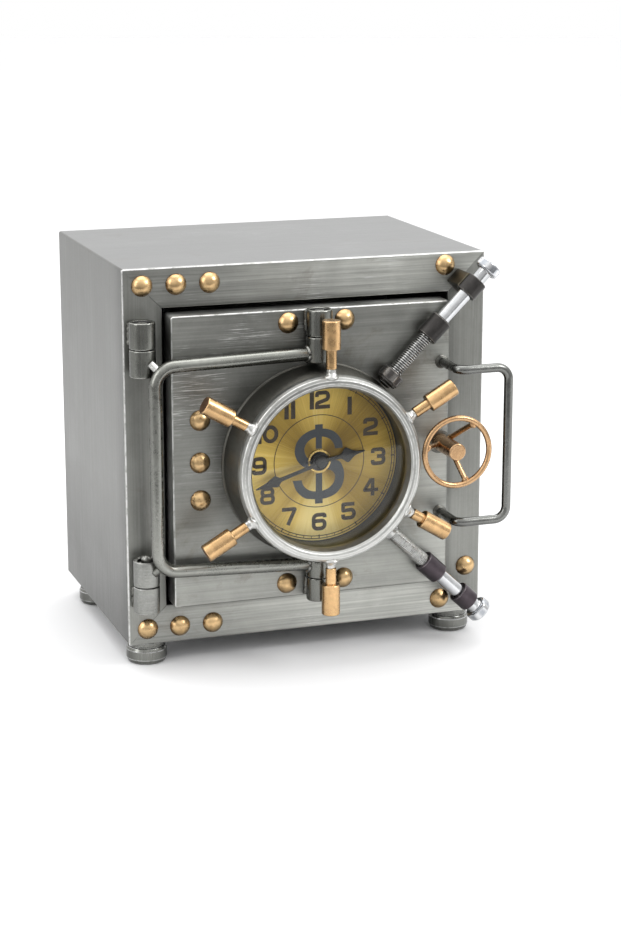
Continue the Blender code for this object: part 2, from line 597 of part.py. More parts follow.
minute_outline = [(-7.0, 0.9), (4.0, 0.9), (24.0, 1.1), (26.5, 3.1), (28.5, 2.9), (33.0, 1.2), (39.0, 0.35)]
hour_outline = [(-5.0, 1.1), (3.0, 1.1), (11.0, 1.3), (14.0, 4.2), (16.5, 4.0), (20.0, 1.7), (26.0, 0.4)]
MINUTE_H, HOUR_H = 19.1, 16.7
minute = hand("minute_hand", minute_outline, 3.4, 0, MINUTE_H, 0.7, 252.0, "black_paint")
boolean(minute, cutter_from(cyl_mesh("minute_hub", 3.4, 1.5, 20), "minute_hub",
                            P(DRUM_X, MINUTE_H - 0.6, DRUM_Z), ROT_FWD), 'UNION')
boolean(minute, cutter_from(cyl_mesh("minute_arbor", 1.2, 21.2, 16), "minute_arbor",
                            P(DRUM_X, MINUTE_H - 21.3, DRUM_Z), ROT_FWD), 'UNION')
hour = hand("hour_hand", hour_outline, 4.2, 2.9, HOUR_H, 0.7, 80.5, "black_paint")
boolean(hour, cutter_from(cyl_mesh("hour_hub", 4.4, 1.1, 24), "hour_hub",
                          P(DRUM_X, HOUR_H - 0.55, DRUM_Z), ROT_FWD), 'UNION')
boolean(hour, cutter_from(cyl_mesh("hour_bore", 2.9, 4.0, 24), "hour_bore",
                          P(DRUM_X, HOUR_H - 2.0, DRUM_Z), ROT_FWD))

# ================================================================= bezel pegs
PEG_GRIP = 17.0                       # grip length
for k, nm in enumerate(("peg_12", "peg_02", "peg_04", "peg_06", "peg_08", "peg_10")):
    a = math.radians(90 - 60 * k)
    r0 = 54.3 + GAP
    neck = 9.1
    if nm == "peg_04":                # sits a little lower and closer, clear of the pull handle
        a -= math.radians(1.3)
        neck = 6.6
    grip = PEG_GRIP
    if nm == "peg_12":                # a shorter grip on a longer neck
        neck, grip = 10.4, 15.7
    peg_profile = [(0, neck + grip), (4.6, neck + grip), (5.0, neck + grip - 0.4),
                   (5.0, neck + 0.4), (4.7, neck), (2.95, neck), (2.95, 0.3), (2.65, 0.0), (0, 0.0)]
    lathe(nm, peg_profile, "copper", P(DRUM_X + r0 * math.cos(a), PEG_H, DRUM_Z + r0 * math.sin(a)),
          basis_z(V(math.cos(a), 0, math.sin(a))), 24, parent=pivot_axis)

# ================================================================= bolts
HEX_AF, NUT_AF, HEAD_T, NUT_T = 13.0, 12.0, 5.3, 6.5


def bolt_set(tag, ang, s_nut, s_tip, s_c1, s_c2, s_head, post_w):
    """One long hex bolt with its nut and two round collars along a sloping axis."""
    a = math.radians(ang)
    d = V(math.cos(a), 0, math.sin(a))

    def at(s):
        return P(BOLT_X + s * math.cos(a), BOLT_H, BOLT_Z + s * math.sin(a))

    rot = basis_z(d, V(0, 1, 0))
    spin = Matrix.Rotation(math.radians(90.0), 3, 'Z')
    # bolt: shank, then the hex head joined on
    me = cyl_mesh(tag + "_bolt", BOLT_R, s_head - s_tip + 1.0, 20)
    bolt = place(tag + "_bolt", me, "bright_zinc", at(s_tip), rot, parent=pivot_axis)
    smooth(me, 40)
    hd = cutter_from(cyl_mesh(tag + "_head", HEX_AF / math.sqrt(3), HEAD_T, 6), tag + "_head",
                     at(s_head), rot @ spin)
    boolean(bolt, hd, 'UNION')
    # nut
    me = cyl_mesh(tag + "_nut", NUT_AF / math.sqrt(3), NUT_T, 6)
    nut = place(tag + "_nut", me, "black_steel", at(s_nut), rot @ spin, parent=pivot_axis)
    bore = cutter_from(cyl_mesh(tag + "_nut_bore", BOLT_R + GAP, NUT_T + 4.0, 20), tag + "_nut_bore",
                       at(s_nut - 2.0), rot)
    boolean(nut, bore)
    # inner collar, on the door
    L1, L2, RC = 13.5, 10.0, 6.0
    lathe(tag + "_inner_collar", [(BOLT_R + GAP, L1), (RC - 0.5, L1), (RC, L1 - 0.5), (RC, 0.5),
                                  (RC - 0.5, 0), (BOLT_R + GAP, 0)], "black_steel",
          at(s_c1 - L1 / 2), rot, 24, closed=True, parent=pivot_axis)
    # outer collar: round eye on a stand-off that reaches towards the frame
    me = cyl_mesh(tag + "_outer_collar", RC, L2, 28)
    oc = place(tag + "_outer_collar", me, "black_steel", at(s_c2 - L2 / 2), rot, parent=pivot_axis)
    smooth(me, 40)
    so = box_mesh(tag + "_standoff", (post_w, BOLT_H - 0.6, L2 - 0.6))
    up = V(0, 1, 0)
    ax = d.cross(up).normalized()
    rot2 = Matrix((ax, up, ax.cross(up))).transposed()
    mid = P(BOLT_X + s_c2 * math.cos(a), (0.6 + BOLT_H) / 2, BOLT_Z + s_c2 * math.sin(a))
    boolean(oc, cutter_from(so, tag + "_standoff", mid, rot2), 'UNION')
    bore = cutter_from(cyl_mesh(tag + "_collar_bore", BOLT_R + GAP, L2 + 6.0, 24), tag + "_collar_bore",
                       at(s_c2 - L2 / 2 - 3.0), rot)
    boolean(oc, bore)


bolt_set("upper", 45.0, 58.6, 56.8, 98.0, 128.2, 139.4, 13.5)
bolt_set("lower", -43.5, 58.0, 56.4, 95.5, 123.3, 132.6, 6.4)

# ================================================================= pull handle
hp = arc_points([(HANDLE_X0, DOOR_H + GAP, HANDLE_Z1), (HANDLE_X0, HANDLE_H, HANDLE_Z1),
                 (HANDLE_X1, HANDLE_H, HANDLE_Z1), (HANDLE_X1, HANDLE_H, HANDLE_Z0),
                 (HANDLE_X0, HANDLE_H, HANDLE_Z0), (HANDLE_X0, DOOR_H + GAP, HANDLE_Z0)],
                [5.0, 7.0, 7.0, 5.0], 5)
rod("pull_handle", hp, HANDLE_R, "dark_steel", 3, pivot_axis)

# ================================================================= valve wheel and latch
bpy.ops.mesh.primitive_torus_add(major_radius=0.0187, minor_radius=0.0016, major_segments=40,
                                 minor_segments=10, location=(0, 0, 0), rotation=(0, 0, 0))
tor = bpy.context.active_object
wheel_mesh = tor.data
bpy.data.objects.remove(tor, do_unlink=True)
wheel_mesh.name = "valve_wheel"
wheel_mesh.shade_smooth()
wheel = place("valve_wheel", wheel_mesh, "copper", P(WHEEL_X, WHEEL_H, WHEEL_Z), ROT_FWD,
              parent=wheel_axis)
# three dished spokes: they leave the hub behind the rim's plane and slope forward to it
for k, (deg, root_h) in enumerate(((56.5, 16.0), (169.5, 16.5), (-71.5, 27.0))):
    a = math.radians(deg)
    p0 = P(WHEEL_X + 1.5 * math.cos(a), root_h, WHEEL_Z + 1.5 * math.sin(a))
    p1 = P(WHEEL_X + 18.3 * math.cos(a), WHEEL_H - 0.2, WHEEL_Z + 18.3 * math.sin(a))
    sp = cutter_from(cyl_mesh("spoke_%d" % k, 1.5, (p1 - p0).length * 1000.0, 12), "spoke_%d" % k,
                     p0, basis_z(p1 - p0))
    boolean(wheel, sp, 'UNION')
hub = lathe("wheel_hub", [(0, 37.4), (4.3, 37.4), (4.75, 36.9), (4.75, 11.4), (4.3, 11.0),
                          (SPINDLE_R, 11.0), (SPINDLE_R, -5.2), (0, -5.2)], None,
            P(WHEEL_X, 0, WHEEL_Z), ROT_FWD, 24, coll=CUT)
boolean(wheel, hub, 'UNION')

# latch cam on the inner end of the spindle: it hangs down when unlocked
CAM_R = 14.0
me, c = box_layout("latch_cam", WHEEL_X - 3.6, WHEEL_X + 3.6, -7.5, -5.5, WHEEL_Z - CAM_R, WHEEL_Z + 4.6,
                   2.4, 3, lambda e: abs((e.verts[0].co - e.verts[1].co).normalized().y) > 0.9)
place("latch_cam", me, "bright_zinc", c, parent=wheel_axis)

for o in COLL.objects:
    if o.type == 'MESH':
        o.data.name = o.name
        if not any(m.type == 'SCREW' for m in o.modifiers) and o.name not in ("case_shell", "front_frame",
                                                                               "back_panel", "door_panel"):
            smooth(o.data, 40)
bpy.context.view_layer.update()
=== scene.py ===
import math
import bpy
import bmesh
import numpy as np
from mathutils import Matrix, Vector, noise
from mathutils.geometry import tessellate_polygon


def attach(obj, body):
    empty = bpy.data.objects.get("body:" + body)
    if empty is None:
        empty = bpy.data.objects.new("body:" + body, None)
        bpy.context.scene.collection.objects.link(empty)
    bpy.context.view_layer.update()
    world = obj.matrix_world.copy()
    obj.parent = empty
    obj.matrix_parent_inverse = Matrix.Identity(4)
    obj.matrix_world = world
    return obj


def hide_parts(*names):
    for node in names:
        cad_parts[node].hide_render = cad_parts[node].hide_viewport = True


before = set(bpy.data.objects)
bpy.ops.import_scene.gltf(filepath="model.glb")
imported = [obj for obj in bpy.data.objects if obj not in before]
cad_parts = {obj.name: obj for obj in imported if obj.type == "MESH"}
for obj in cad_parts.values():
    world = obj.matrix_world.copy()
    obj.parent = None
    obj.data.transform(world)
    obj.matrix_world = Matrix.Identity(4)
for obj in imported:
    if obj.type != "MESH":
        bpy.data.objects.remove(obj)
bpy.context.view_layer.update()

# =====================================================================================
# Layout: x right (0 mid case), h forward (0 = front face of the frame), z up (0 = case
# underside), all in millimetres. P gives the row frame in metres.
# =====================================================================================


def P(x, h, z):
    return Vector(((x - 1.575) / 1000.0, (-h - 54.3) / 1000.0, (z + 13.0) / 1000.0))


def V(dx, dh, dz):
    return Vector((dx, -dh, dz))


def frame_z(origin, direction, up=None):
    """4x4 matrix whose local Z is direction, in mm units mapped to metres."""
    z = Vector(direction).normalized()
    ref = Vector(up) if up is not None else Vector((0, 0, 1))
    if abs(z.dot(ref.normalized())) > 0.999:
        ref = Vector((1, 0, 0))
    x = ref.cross(z).normalized()
    y = z.cross(x).normalized()
    m = Matrix((x, y, z)).transposed().to_4x4()
    m = Matrix.Translation(origin) @ m @ Matrix.Diagonal((0.001, 0.001, 0.001, 1.0))
    return m


FWD = V(0, 1, 0)


def lin(h):
    v = []
    for i in (0, 2, 4):
        c = int(h[i:i + 2], 16) / 255.0
        v.append(c / 12.92 if c <= 0.04045 else ((c + 0.055) / 1.055) ** 2.4)
    return (v[0], v[1], v[2], 1.0)


def scaled(c, k):
    return (c[0] * k, c[1] * k, c[2] * k, 1.0)


# =====================================================================================
# Materials
# =====================================================================================
class Tree:
    def __init__(self, name):
        self.mat = bpy.data.materials.new(name)
        self.mat.use_nodes = True
        self.t = self.mat.node_tree
        self.bsdf = self.t.nodes["Principled BSDF"]
        tc = self.t.nodes.new("ShaderNodeTexCoord")
        self.obj = tc.outputs["Object"]

    def link(self, a, b):
        self.t.links.new(a, b)

    def mapping(self, scale, loc=(0, 0, 0), rot=(0, 0, 0), src=None):
        n = self.t.nodes.new("ShaderNodeMapping")
        n.inputs["Scale"].default_value = scale
        n.inputs["Location"].default_value = loc
        n.inputs["Rotation"].default_value = rot
        self.link(src if src is not None else self.obj, n.inputs["Vector"])
        return n.outputs["Vector"]

    def noise(self, vec, scale=1.0, detail=4.0, rough=0.55, distortion=0.0):
        n = self.t.nodes.new("ShaderNodeTexNoise")
        n.inputs["Scale"].default_value = scale
        n.inputs["Detail"].default_value = detail
        n.inputs["Roughness"].default_value = rough
        n.inputs["Distortion"].default_value = distortion
        self.link(vec, n.inputs["Vector"])
        return n.outputs["Fac"]

    def voronoi(self, vec, scale=1.0, feature='F1'):
        n = self.t.nodes.new("ShaderNodeTexVoronoi")
        n.feature = feature
        n.inputs["Scale"].default_value = scale
        self.link(vec, n.inputs["Vector"])
        return n.outputs["Distance"]

    def ramp(self, fac, stops, interp='LINEAR'):
        n = self.t.nodes.new("ShaderNodeValToRGB")
        n.color_ramp.interpolation = interp
        els = n.color_ramp.elements
        while len(els) > len(stops):
            els.remove(els[-1])
        while len(els) < len(stops):
            els.new(0.5)
        for e, (p, c) in zip(els, stops):
            e.position = p
            e.color = c if hasattr(c, "__len__") else (c, c, c, 1.0)
        self.link(fac, n.inputs["Fac"])
        return n.outputs["Color"]

    def maprange(self, fac, a, b, c, d, smooth=False):
        n = self.t.nodes.new("ShaderNodeMapRange")
        n.interpolation_type = 'SMOOTHSTEP' if smooth else 'LINEAR'
        for k, v in zip(("From Min", "From Max", "To Min", "To Max"), (a, b, c, d)):
            n.inputs[k].default_value = v
        self.link(fac, n.inputs["Value"])
        return n.outputs["Result"]

    def math(self, op, a, b=None, clamp=False):
        n = self.t.nodes.new("ShaderNodeMath")
        n.operation = op
        n.use_clamp = clamp
        for i, v in enumerate((a, b)):
            if v is None:
                continue
            if isinstance(v, (int, float)):
                n.inputs[i].default_value = v
            else:
                self.link(v, n.inputs[i])
        return n.outputs[0]

    def mix(self, fac, a, b, blend='MIX'):
        n = self.t.nodes.new("ShaderNodeMix")
        n.data_type = 'RGBA'
        n.blend_type = blend
        n.clamp_factor = True
        for sock, v in ((n.inputs["Factor"], fac), (n.inputs["A"], a), (n.inputs["B"], b)):
            pass
        fa = [s for s in n.inputs if s.name == "Factor" and s.type == 'VALUE'][0]
        aa = [s for s in n.inputs if s.name == "A" and s.type == 'RGBA'][0]
        bb = [s for s in n.inputs if s.name == "B" and s.type == 'RGBA'][0]
        for s, v in ((fa, fac), (aa, a), (bb, b)):
            if isinstance(v, (int, float)):
                s.default_value = v
            elif hasattr(v, "__len__") and not hasattr(v, "links"):
                s.default_value = v
            else:
                self.link(v, s)
        return [s for s in n.outputs if s.type == 'RGBA'][0]

    def separate(self, vec=None):
        n = self.t.nodes.new("ShaderNodeSeparateXYZ")
        self.link(vec if vec is not None else self.obj, n.inputs[0])
        return n.outputs

    def attribute(self, name):
        n = self.t.nodes.new("ShaderNodeAttribute")
        n.attribute_name = name
        return n.outputs["Fac"]

    def bump(self, height, strength, distance, normal=None):
        n = self.t.nodes.new("ShaderNodeBump")
        n.inputs["Strength"].default_value = strength
        n.inputs["Distance"].default_value = distance
        self.link(height, n.inputs["Height"])
        if normal is not None:
            self.link(normal, n.inputs["Normal"])
        return n.outputs["Normal"]

    def set(self, name, v):
        s = self.bsdf.inputs[name]
        if isinstance(v, (int, float)):
            s.default_value = v
        elif hasattr(v, "__len__") and not hasattr(v, "links"):
            s.default_value = v
        else:
            self.link(v, s)


AXIS_SCALE = {
    "x": (12.0, 900.0, 900.0),
    "y": (900.0, 12.0, 900.0),
    "z": (900.0, 900.0, 12.0),
    None: (260.0, 260.0, 260.0),
}


def metal(name, col, rough=0.38, brush=None, streak=0.16, cloud=0.12, wear_col=None, wear=0.0,
          spots=None, spot_amt=0.0, bump=0.25, metallic=1.0, scratch=0.0, scratch_mask=None,
          grain=0.0, rough_var=0.10, coat=0.0, seed=0.0, brush_scale=1.0, cloud_scale=28.0,
          painted_light_gradient=None, spot_scale=38.0, wear_and_highlight_mask=None, shade=None, tone=0.0):
    """A worked metal: streaks along the brushing, clouds of tone, worn edges, scratches, spots, and where asked
    painted light and shade: along one axis, from a position mask and by which way the surface faces.
    """
    t = Tree(name)
    off = (seed * 1.37, seed * 0.71, seed * 2.11)
    sc = tuple(s * brush_scale if s > 100 else s for s in AXIS_SCALE[brush])
    fine = t.noise(t.mapping(sc, off), 1.0, 3.0, 0.6)
    broad_sc = tuple(s * 0.22 if s > 100 else s * 0.6 for s in sc)
    broad = t.noise(t.mapping(broad_sc, off), 1.0, 3.0, 0.55)
    clouds = t.noise(t.mapping((1, 1, 1), off), cloud_scale, 5.0, 0.6, 0.4)
    k1 = t.maprange(fine, 0.32, 0.68, 1.0 - streak, 1.0 + streak)
    k2 = t.maprange(broad, 0.34, 0.66, 1.0 - streak * 0.35, 1.0 + streak * 0.35)
    k3 = t.maprange(clouds, 0.3, 0.7, 1.0 - cloud, 1.0 + cloud)
    k = t.math('MULTIPLY', t.math('MULTIPLY', k1, k2), k3)
    base = t.mix(1.0, col, t.ramp(t.math('MULTIPLY', k, 0.5), [(0.0, 0.0), (1.0, 2.0)]), 'MULTIPLY')
    r = t.math('ADD', t.maprange(fine, 0.3, 0.7, rough - rough_var * 0.5, rough + rough_var * 0.5),
               t.maprange(clouds, 0.3, 0.7, -rough_var * 0.5, rough_var * 0.5))
    # painted light: base colour ramped along one axis for how the light falls across the part
    if painted_light_gradient is not None:
        axis, a, b, ca, cb = painted_light_gradient
        xyz = t.separate()
        g = t.maprange(xyz["XYZ".index(axis)], a, b, ca, cb, True)
        base = t.mix(1.0, base, t.ramp(t.math('MULTIPLY', g, 0.5), [(0.0, 0.0), (1.0, 2.0)]), 'MULTIPLY')
    # painted shading from the tone attribute: darker where a surface faces away from the light
    if tone > 0:
        tn = t.ramp(t.attribute("tone"), [(x, 1.0 + (y - 1.0) * tone) for x, y in
                                          ((0.0, 0.16), (0.30, 0.38), (0.50, 0.62), (0.72, 0.95), (0.82, 1.15), (0.92, 1.42))])
        base = t.mix(1.0, base, tn, 'MULTIPLY')
    # painted light and shade from a position mask
    if shade is not None:
        sh = shade(t)
        base = t.mix(1.0, base, t.ramp(t.math('MULTIPLY', sh, 0.5), [(0.0, 0.0), (1.0, 2.0)]), 'MULTIPLY')
    if spots is not None and spot_amt > 0:
        sp = t.noise(t.mapping((1, 1, 1), (off[0] + 3, off[1], off[2])), spot_scale, 6.0, 0.7, 0.6)
        m = t.maprange(sp, 0.56, 0.72, 0.0, spot_amt, True)
        base = t.mix(m, base, spots)
    if grain > 0:
        g1 = t.noise(t.mapping((1, 1, 1), off), 950.0, 4.0, 0.7)
        gm = t.maprange(g1, 0.45, 0.75, 0.0, grain, True)
        base = t.mix(gm, base, scaled(col, 2.2))
        g2 = t.maprange(t.noise(t.mapping((1, 1, 1), (5, 5, 5)), 700.0, 4.0, 0.7), 0.5, 0.8, 0.0, grain, True)
        base = t.mix(g2, base, scaled(col, 0.35))
    if scratch > 0:
        s_sc = {"x": (40.0, 1600.0, 1600.0), "y": (1600.0, 40.0, 1600.0), "z": (1600.0, 1600.0, 40.0),
                None: (300.0, 300.0, 300.0)}[brush]
        s1 = t.noise(t.mapping(s_sc, (7.0 + off[0], 3.0, 1.0)), 1.0, 4.0, 0.75)
        s2 = t.noise(t.mapping((1, 1, 1), (2.0, off[1], 4.0)), 22.0, 4.0, 0.6, 0.5)
        m = t.math('MULTIPLY', t.maprange(s1, 0.52, 0.66, 0.0, 1.0, True),
                   t.maprange(s2, 0.50, 0.66, 0.0, 1.0, True))
        if scratch_mask is not None:
            m = t.math('MULTIPLY', m, scratch_mask(t))
        m = t.math('MULTIPLY', m, scratch, True)
        base = t.mix(m, base, wear_col or scaled(col, 2.2))
        r = t.math('ADD', r, t.math('MULTIPLY', m, 0.12))
    # worn edges; the edge mask can also paint a highlight on the edges that face the light
    if wear > 0:
        w = t.attribute("wear")
        wn = t.noise(t.mapping((1, 1, 1), (off[2], 1.0, 2.0)), 240.0, 4.0, 0.65)
        wm = t.math('MULTIPLY', w, t.maprange(wn, 0.34, 0.56, 0.25, 1.0, True))
        if wear_and_highlight_mask is not None:
            wm = t.math('MULTIPLY', wm, wear_and_highlight_mask(t))
        wm = t.math('MULTIPLY', wm, wear, True)
        base = t.mix(wm, base, wear_col or scaled(col, 2.5))
        r = t.math('SUBTRACT', r, t.math('MULTIPLY', wm, 0.08))
    t.set("Base Color", base)
    t.set("Roughness", t.math('MAXIMUM', r, 0.04))
    t.set("Metallic", metallic)
    if coat:
        t.set("Coat Weight", coat)
    n1 = t.bump(fine, bump, 0.00006)
    n2 = t.bump(clouds, min(1.0, bump * 0.6), 0.0003, n1)
    if grain > 0:
        n2 = t.bump(t.noise(t.mapping((1, 1, 1), off), 600.0, 5.0, 0.7), 0.7, 0.00012 * (0.5 + grain), n2)
    t.set("Normal", n2)
    return t.mat


STEEL = (0.285, 0.288, 0.268, 1.0)


def door_scratch(t):
    """Pale rubbed patches: mostly in the upper left and the middle of the door's face."""
    xyz = t.separate()
    a = t.maprange(xyz[2], 0.075, 0.165, 0.15, 1.0, True)
    b = t.maprange(xyz[0], 0.055, -0.03, 0.35, 1.0, True)
    return t.math('MULTIPLY', a, b)


def door_wear(t):
    """Worn edges and a painted highlight: the door's top and left edges, which face the light, are painted bright, the
    right and bottom ones much less.
    """
    xyz = t.separate()
    top = t.maprange(xyz[2], P(0, 0, 178.0).z, P(0, 0, 181.0).z, 0.0, 1.0)
    left = t.maprange(xyz[0], P(-74.0, 0, 0).x, P(-78.0, 0, 0).x, 0.0, 0.75)
    return t.math('MAXIMUM', t.math('MAXIMUM', top, left), 0.06)


def door_shade(t):
    """Painted shadow close round the drum, painted light towards the bottom and the right, and painted shade along the
    right and bottom edges.
    """
    xyz = t.separate()
    dx = t.math('SUBTRACT', xyz[0], P(1.3, 0, 0).x)
    dz = t.math('SUBTRACT', xyz[2], P(0, 0, 98.9).z)
    rad = t.math('SQRT', t.math('ADD', t.math('MULTIPLY', dx, dx), t.math('MULTIPLY', dz, dz)))
    # painted shadow round the drum, painted light lower down and to the right, painted shade along the right and
    # bottom edges
    a = t.maprange(rad, 0.0535, 0.066, 0.72, 1.0, True)
    low = t.maprange(xyz[2], P(0, 0, 62.0).z, P(0, 0, 38.0).z, 1.0, 1.28, True)
    right = t.maprange(xyz[0], P(48.0, 0, 0).x, P(72.0, 0, 0).x, 1.0, 1.6, True)
    edge_r = t.maprange(xyz[0], P(77.2, 0, 0).x, P(78.1, 0, 0).x, 1.0, 0.42, True)
    edge_b = t.maprange(xyz[2], P(0, 0, 23.4).z, P(0, 0, 22.5).z, 1.0, 0.5, True)
    k = t.math('MULTIPLY', a, t.math('MAXIMUM', low, right))
    return t.math('MULTIPLY', k, t.math('MULTIPLY', edge_r, edge_b))


def frame_wear(t):
    """Worn edges and a painted highlight: the frame's top and left outer edges, which face the light, are painted
    bright; the other edges stay dull.
    """
    xyz = t.separate()
    top = t.maprange(xyz[2], P(0, 0, 203.0).z, P(0, 0, 205.0).z, 0.0, 1.0)
    left = t.maprange(xyz[0], P(-100.0, 0, 0).x, P(-101.6, 0, 0).x, 0.0, 0.8)
    return t.math('MAXIMUM', t.math('MAXIMUM', top, left), 0.15)


def flange_shade(t):
    """Painted light: the pan's top flange, which faces up into the light, is painted paler than its other three."""
    return t.maprange(t.separate()[2], P(0, 0, 180.4).z, P(0, 0, 181.6).z, 1.0, 1.9, True)


def side_shade(t):
    """Painted shade: slightly darker towards the bottom."""
    return t.maprange(t.separate()[2], P(0, 0, 95.0).z, P(0, 0, 5.0).z, 1.0, 0.68, True)


def opening_shade(t):
    """Painted shade: a soft dark line on the frame all round the door opening, where the door's edge shades it."""
    xyz = t.separate()
    ax = t.math('ABSOLUTE', t.math('SUBTRACT', xyz[0], P(0, 0, 0).x))
    inx = t.maprange(ax, 0.0812, 0.0875, 1.0, 0.0, True)
    up = t.maprange(xyz[2], P(0, 0, 184.9).z, P(0, 0, 190.0).z, 1.0, 0.0, True)
    dn = t.maprange(xyz[2], P(0, 0, 21.3).z, P(0, 0, 16.0).z, 1.0, 0.0, True)
    m = t.math('MULTIPLY', t.math('MULTIPLY', inx, up), dn)
    return t.maprange(m, 0.0, 1.0, 1.0, 0.62)


def top_scratch(t):
    xyz = t.separate()
    a = t.maprange(t.math('ABSOLUTE', xyz[0]), 0.03, 0.085, 1.0, 0.25, True)
    return a


MAT = {}
# The sides are painted darker than the top as painted shade, with more painted shade along the front edge and towards
# the bottom.
MAT["side"] = metal("steel_side_brushed", (0.225, 0.226, 0.217, 1), 0.44, "z", 0.055, 0.06,
                    wear_col=(0.6, 0.6, 0.59, 1), wear=0.6, spots=lin("6d625a"), spot_amt=0.14, bump=0.12,
                    seed=1, painted_light_gradient=("Y", -0.056, -0.030, 0.66, 1.0), grain=0.05, shade=side_shade)
MAT["top"] = metal("steel_top_brushed", (0.275, 0.277, 0.275, 1), 0.42, "x", 0.07, 0.05,
                   wear_col=(0.8, 0.8, 0.8, 1), wear=0.8, spots=lin("7c7268"), spot_amt=0.12, bump=0.18,
                   scratch=0.25, scratch_mask=top_scratch, seed=2, grain=0.04)
# painted light: the top and bottom strips painted paler from the left end towards the middle; painted highlight on the
# outer top and left edges; painted shade round the opening
MAT["frame_h"] = metal("steel_frame_across", STEEL, 0.42, "x", 0.21, 0.12,
                       wear_col=(0.78, 0.78, 0.77, 1), wear=1.0, spots=lin("6a5c50"), spot_amt=0.22,
                       scratch=0.95, scratch_mask=top_scratch, bump=0.2, seed=3, grain=0.05,
                       shade=opening_shade, wear_and_highlight_mask=frame_wear, painted_light_gradient=("X", P(-85, 0, 0).x, P(10, 0, 0).x, 1.0, 1.66))
# painted highlight on the left outer edge; painted shade round the opening
MAT["frame_v"] = metal("steel_frame_upright", STEEL, 0.43, "z", 0.10, 0.11,
                       wear_col=(0.78, 0.78, 0.77, 1), wear=1.0, spots=lin("6a5c50"), spot_amt=0.22,
                       scratch=0.2, bump=0.18, seed=4, grain=0.05, shade=opening_shade,
                       wear_and_highlight_mask=frame_wear)
# painted shadow round the drum, painted light towards the bottom and right, painted highlight on the top and left
# edges
MAT["door"] = metal("steel_door_brushed", (0.262, 0.265, 0.246, 1), 0.42, "x", 0.13, 0.15,
                    wear_col=(0.78, 0.78, 0.76, 1), wear=1.0, spots=lin("5e5240"), spot_amt=0.30,
                    scratch=0.9, scratch_mask=door_scratch, bump=0.2, seed=5, grain=0.05,
                    wear_and_highlight_mask=door_wear, shade=door_shade)
MAT["back"] = metal("steel_back_brushed", (0.25, 0.251, 0.246, 1), 0.43, "z", 0.07, 0.05,
                    wear_col=(0.7, 0.7, 0.7, 1), wear=0.9, spots=lin("6a5c50"), spot_amt=0.2, bump=0.2, seed=6)
# painted shade: the insides of the case and door pan, the window walls and the barrels' bores are painted near black
# for the shade in them
MAT["inner"] = metal("steel_inner_painted_shade", (0.11, 0.11, 0.11, 1), 0.5, "z", 0.10, 0.15, bump=0.15, seed=7)
# painted light: the top flange of the pan is painted paler
MAT["flange"] = metal("steel_door_flange", (0.34, 0.343, 0.33, 1), 0.42, "x", 0.14, 0.25, bump=0.2, shade=flange_shade, seed=44,
                      cloud_scale=34.0)
MAT["knuckle"] = metal("steel_knuckle", (0.205, 0.208, 0.19, 1), 0.28, "z", 0.09, 0.14,
                       wear_col=(0.5, 0.5, 0.47, 1), wear=0.8, spots=lin("3b352c"), spot_amt=0.3,
                       grain=0.10, bump=0.2, tone=0.9, seed=8)
MAT["knuckle_low"] = metal("steel_knuckle_lower", (0.30, 0.303, 0.285, 1), 0.33, "x", 0.12, 0.14,
                           wear_col=(0.6, 0.6, 0.58, 1), wear=0.8, spots=lin("4a4238"), spot_amt=0.3,
                           grain=0.14, bump=0.25, tone=0.8, seed=38)
MAT["pin"] = metal("steel_pin_head", (0.62, 0.62, 0.6, 1), 0.24, None, 0.08, 0.2, bump=0.3, seed=39,
                   cloud_scale=200.0)
# painted highlight: the upper stub is painted pale for the bright streaks the light draws along it
MAT["stub"] = metal("steel_stub_painted_highlight", (0.66, 0.66, 0.635, 1), 0.24, None, 0.08, 0.2, bump=0.3, tone=0.9, seed=40,
                    cloud_scale=200.0)
# painted light: the rod is painted paler along its lower run
MAT["rod"] = metal("steel_rod", (0.25, 0.253, 0.232, 1), 0.27, None, 0.08, 0.12,
                   spots=lin("3f3a30"), spot_amt=0.06, grain=0.02, bump=0.25, tone=0.9, seed=9,
                   painted_light_gradient=("Z", P(0, 0, 60.0).z, P(0, 0, 110.0).z, 1.18, 1.0))
MAT["handle"] = metal("steel_handle", (0.20, 0.203, 0.193, 1), 0.24, None, 0.08, 0.12,
                      spots=lin("3c3831"), spot_amt=0.05, grain=0.0, bump=0.15, tone=0.8, seed=10)
MAT["weld"] = metal("steel_weld", (0.17, 0.17, 0.155, 1), 0.40, None, 0.2, 0.3,
                    spots=lin("5b4a3e"), spot_amt=0.5, grain=0.25, bump=0.7, tone=0.8, seed=11)
MAT["weld_mid"] = metal("steel_weld_mid", (0.30, 0.30, 0.28, 1), 0.36, None, 0.15, 0.25,
                        spots=lin("5a5044"), spot_amt=0.35, grain=0.15, bump=0.6, tone=0.8, seed=40)
MAT["weld_bright"] = metal("steel_weld_bright", (0.58, 0.58, 0.56, 1), 0.32, None, 0.10, 0.15,
                           spots=lin("7a6a5c"), spot_amt=0.35, grain=0.12, bump=0.6, seed=12)
MAT["foot"] = metal("foot_gunmetal", (0.235, 0.238, 0.22, 1), 0.25, "z", 0.08, 0.12,
                    wear_col=(0.6, 0.6, 0.6, 1), wear=0.8, spots=lin("5a4535"), spot_amt=0.25, bump=0.15, tone=0.9, seed=13)
MAT["drum"] = metal("drum_dark_steel", (0.125, 0.122, 0.108, 1), 0.42, "y", 0.08, 0.12,
                    wear_col=(0.4, 0.4, 0.38, 1), wear=0.6, spots=lin("403a2c"), spot_amt=0.2, bump=0.15, seed=14,
                    grain=0.05)
# painted shade: the drum's inner wall, deep under the glass, is painted darker than the drum
MAT["drum_in"] = metal("drum_inner_wall_painted_shade", (0.085, 0.092, 0.10, 1), 0.42, "y", 0.1, 0.1, bump=0.1, seed=15)
